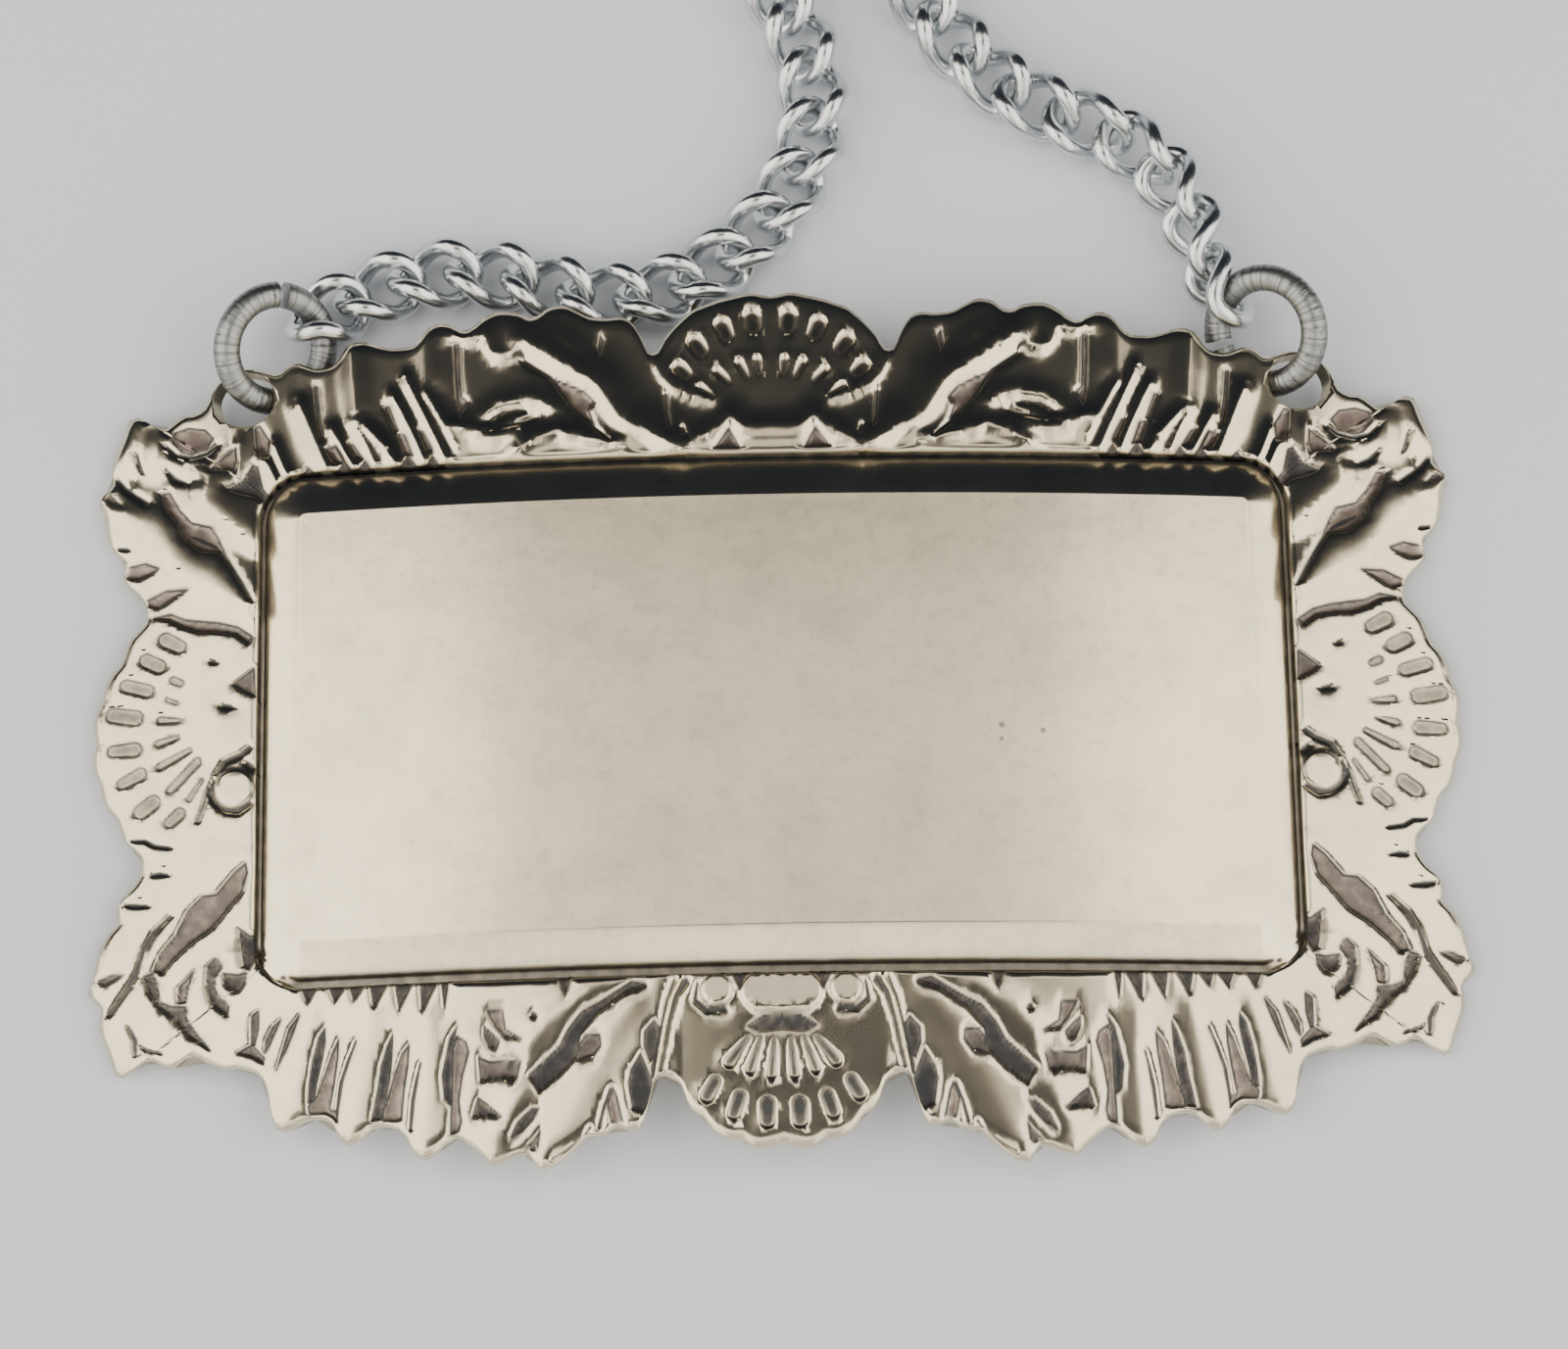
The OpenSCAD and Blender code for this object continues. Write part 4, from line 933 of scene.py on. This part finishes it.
chain_silver, shader, place = new_metal("polished_chain_silver", {"Metallic": 1.0})
film = place.noise(700.0, 4.0)
scuffs = place.stretched((2600.0, 9000.0, 4000.0), 0.7).noise(1.0, 3.0)
silver = (film.band(0.42, 0.72) * 0.6).mix((0.68, 0.71, 0.73, 1), (0.43, 0.45, 0.46, 1))
dents = scuffs * 0.5 + film
relief = place.node("ShaderNodeBump", {}, {"Strength": 0.25, "Distance": 0.00004, "Height": dents})
wire(shader, Base_Color=silver, Roughness=0.15 + 0.12 * film + 0.05 * scuffs, Normal=relief)

link_tree, add, size = new_tree("curb_link", {
    "Length": "NodeSocketFloat", "Width": "NodeSocketFloat", "Wire": "NodeSocketFloat",
    "Twist": "NodeSocketFloat", "Place": "NodeSocketVector", "Lie": "NodeSocketRotation",
    "Finish": "NodeSocketMaterial"})
long_way = add("ShaderNodeMath", {"operation": "SUBTRACT"}, {0: size["Length"], 1: size["Wire"]})
short_way = add("ShaderNodeMath", {"operation": "SUBTRACT"}, {0: size["Width"], 1: size["Wire"]})
bend_r = add("ShaderNodeMath", {"operation": "MULTIPLY"}, {0: short_way.outputs[0], 1: 0.4999})
oblong = add("GeometryNodeCurvePrimitiveQuadrilateral", {"mode": "RECTANGLE"},
             {"Width": long_way.outputs[0], "Height": short_way.outputs[0]})
oval = add("GeometryNodeFilletCurve", {"mode": "POLY"},
           {"Curve": oblong.outputs["Curve"], "Count": 9, "Radius": bend_r.outputs[0]})
even = add("GeometryNodeResampleCurve", {"mode": "COUNT"}, {"Curve": oval.outputs["Curve"], "Count": 56})
here = add("GeometryNodeInputPosition", {}, {})
spot = add("ShaderNodeSeparateXYZ", {}, {0: here.outputs[0]})
share = add("ShaderNodeMath", {"operation": "DIVIDE"}, {0: spot.outputs["X"], 1: long_way.outputs[0]})
eased = add("ShaderNodeMapRange", {}, {
    "Value": share.outputs[0], "From Min": -twist_share, "From Max": twist_share,
    "To Min": -math.pi / 2, "To Max": math.pi / 2})
swing = add("ShaderNodeMath", {"operation": "SINE"}, {0: eased.outputs[0]})
angle = add("ShaderNodeMath", {"operation": "MULTIPLY"}, {0: swing.outputs[0], 1: size["Twist"]})
twisted = add("ShaderNodeVectorRotate", {"rotation_type": "X_AXIS"},
              {"Vector": here.outputs[0], "Angle": angle.outputs[0]})
shaped = add("GeometryNodeSetPosition", {},
             {"Geometry": even.outputs["Curve"], "Position": twisted.outputs[0]})
as_wire(link_tree, add, size, shaped.outputs["Geometry"], 14, False)


def chain_link(name, middle, ways, body):
    link = finished(link_tree, name, {
        "Length": link_len * MM, "Width": link_wid * MM, "Wire": link_wire * MM,
        "Twist": math.radians(link_twist), "Place": (np.array(middle) * MM).tolist(),
        "Lie": turned_to(ways), "Finish": chain_silver})
    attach(link, body)
    return link


far_end = {}
for node in sorted(n for n in frame["nodes"] if "_link_" in n):
    middle, ways = own_axes(node_points(node))
    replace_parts(chain_link(node + "_wire", middle, ways, node), node)
    far_end[node.split("_")[0]] = node, 2 * middle - np.array(joints[node + "_swing"]["pos_m"]) / MM

# The closing link. It is the same link again, laid between the far ends of the two strands, and moves
# with the last link on the left.
(last_left, left_tip), (_, right_tip) = far_end["left"], far_end["right"]
run = (right_tip - left_tip) / np.linalg.norm(right_tip - left_tip)
across = np.cross([0, 0, 1], run)
chain_link("closing_link_wire", (left_tip + right_tip) / 2, [run, across, np.cross(run, across)], last_left)

# The table it lies on, and the light: soft boxes overhead, in front and at both sides, with dark gaps
# between them and a dark far side, as silver is lit to show its relief.
bpy.ops.mesh.primitive_plane_add(size=1.6)
table = bpy.context.object
table.name = "table"
pale, shader, place = new_metal("pale_table", {"Roughness": 0.9, "Specular IOR Level": 0.2})
wire(shader, Base_Color=place.noise(60.0, 3.0).mix((0.68, 0.725, 0.795, 1), (0.71, 0.76, 0.83, 1)))
table.data.materials.append(pale)

world = bpy.data.worlds.new("dim_room")
world.use_nodes = True
background = world.node_tree.nodes["Background"]
background.inputs["Color"].default_value = (0.014, 0.020, 0.032, 1)
background.inputs["Strength"].default_value = 1.0
bpy.context.scene.world = world

# Each soft box, in metres: its name, place, width and length, power and turn in degrees.
soft_boxes = [
    ("top_left", (-0.497, 0.0, 0.5), (0.706, 0.4), 2.62, (0, 0, 0)),
    ("low_left", (-0.55, -0.397, 0.5), (0.6, 0.395), 2.2, (0, 0, 0)),
    ("side_strip", (-0.1, 0.018, 0.5), (0.085, 0.072), 0.056, (0, 0, 0)),
    ("low_front", (0, -0.397, 0.5), (0.5, 0.395), 1.09, (0, 0, 0)),
    ("low_right", (0.55, -0.397, 0.5), (0.6, 0.395), 2.11, (0, 0, 0)),
    ("back_left", (-0.575, 0.26, 0.5), (0.55, 0.118), 0.6, (0, 0, 0)),
    ("top_middle", (0, 0.127, 0.5), (0.288, 0.146), 0.16, (0, 0, 0)),
    ("top_right", (0.497, 0.0, 0.5), (0.706, 0.4), 2.52, (0, 0, 0)),
    ("back_right", (0.575, 0.26, 0.5), (0.55, 0.118), 0.58, (0, 0, 0)),
    ("front_left", (-0.56, -0.62, 0.27), (0.58, 0.46), 1.75, (90, 0, 0)),
    ("front", (0, -0.62, 0.27), (0.54, 0.46), 0.85, (90, 0, 0)),
    ("front_right", (0.56, -0.62, 0.27), (0.58, 0.46), 1.75, (90, 0, 0)),
    ("left", (-0.86, -0.1, 0.27), (0.95, 0.46), 3.9, (90, 0, -90)),
    ("right", (0.86, -0.1, 0.27), (0.95, 0.46), 3.7, (90, 0, 90)),
]
for name, place, size, power, turn in soft_boxes:
    lamp = bpy.data.lights.new(name, "AREA")
    lamp.shape, lamp.size, lamp.size_y, lamp.energy = "RECTANGLE", size[0], size[1], power
    lamp.color = (1.0, 0.93, 0.83)
    lamp_object = bpy.data.objects.new(name, lamp)
    lamp_object.location, lamp_object.rotation_euler = place, [math.radians(a) for a in turn]
    bpy.context.collection.objects.link(lamp_object)

# The camera stands above the lower edge and looks down steeply, a little turned, with a long lens.
tilt, roll = math.radians(17.0), math.radians(1.0)
level = np.array([1.0, 0, 0])
steep = np.array([0, math.cos(tilt), math.sin(tilt)])
forward = np.array([0, math.sin(tilt), -math.cos(tilt)])
right = math.cos(roll) * level - math.sin(roll) * steep
up = math.sin(roll) * level + math.cos(roll) * steep
away, aside, above = 210.24, 0.2756, 1.9488
aim = np.array([0, 0, 1.8])
stand = aim - (forward * away - right * aside - up * above)
photo_w_px, focal_px, sensor_w = 1600, 5340, 36.0
lens = bpy.data.cameras.new("camera")
lens.sensor_fit, lens.sensor_width, lens.lens = "HORIZONTAL", sensor_w, sensor_w * focal_px / photo_w_px
lens.clip_start, lens.clip_end = 0.005, 10.0
camera = bpy.data.objects.new("camera", lens)
facing = Matrix(np.array([right, up, -forward]).T.tolist()).to_4x4()
camera.matrix_world = Matrix.Translation((stand * MM).tolist()) @ facing
bpy.context.collection.objects.link(camera)
bpy.context.scene.camera = camera
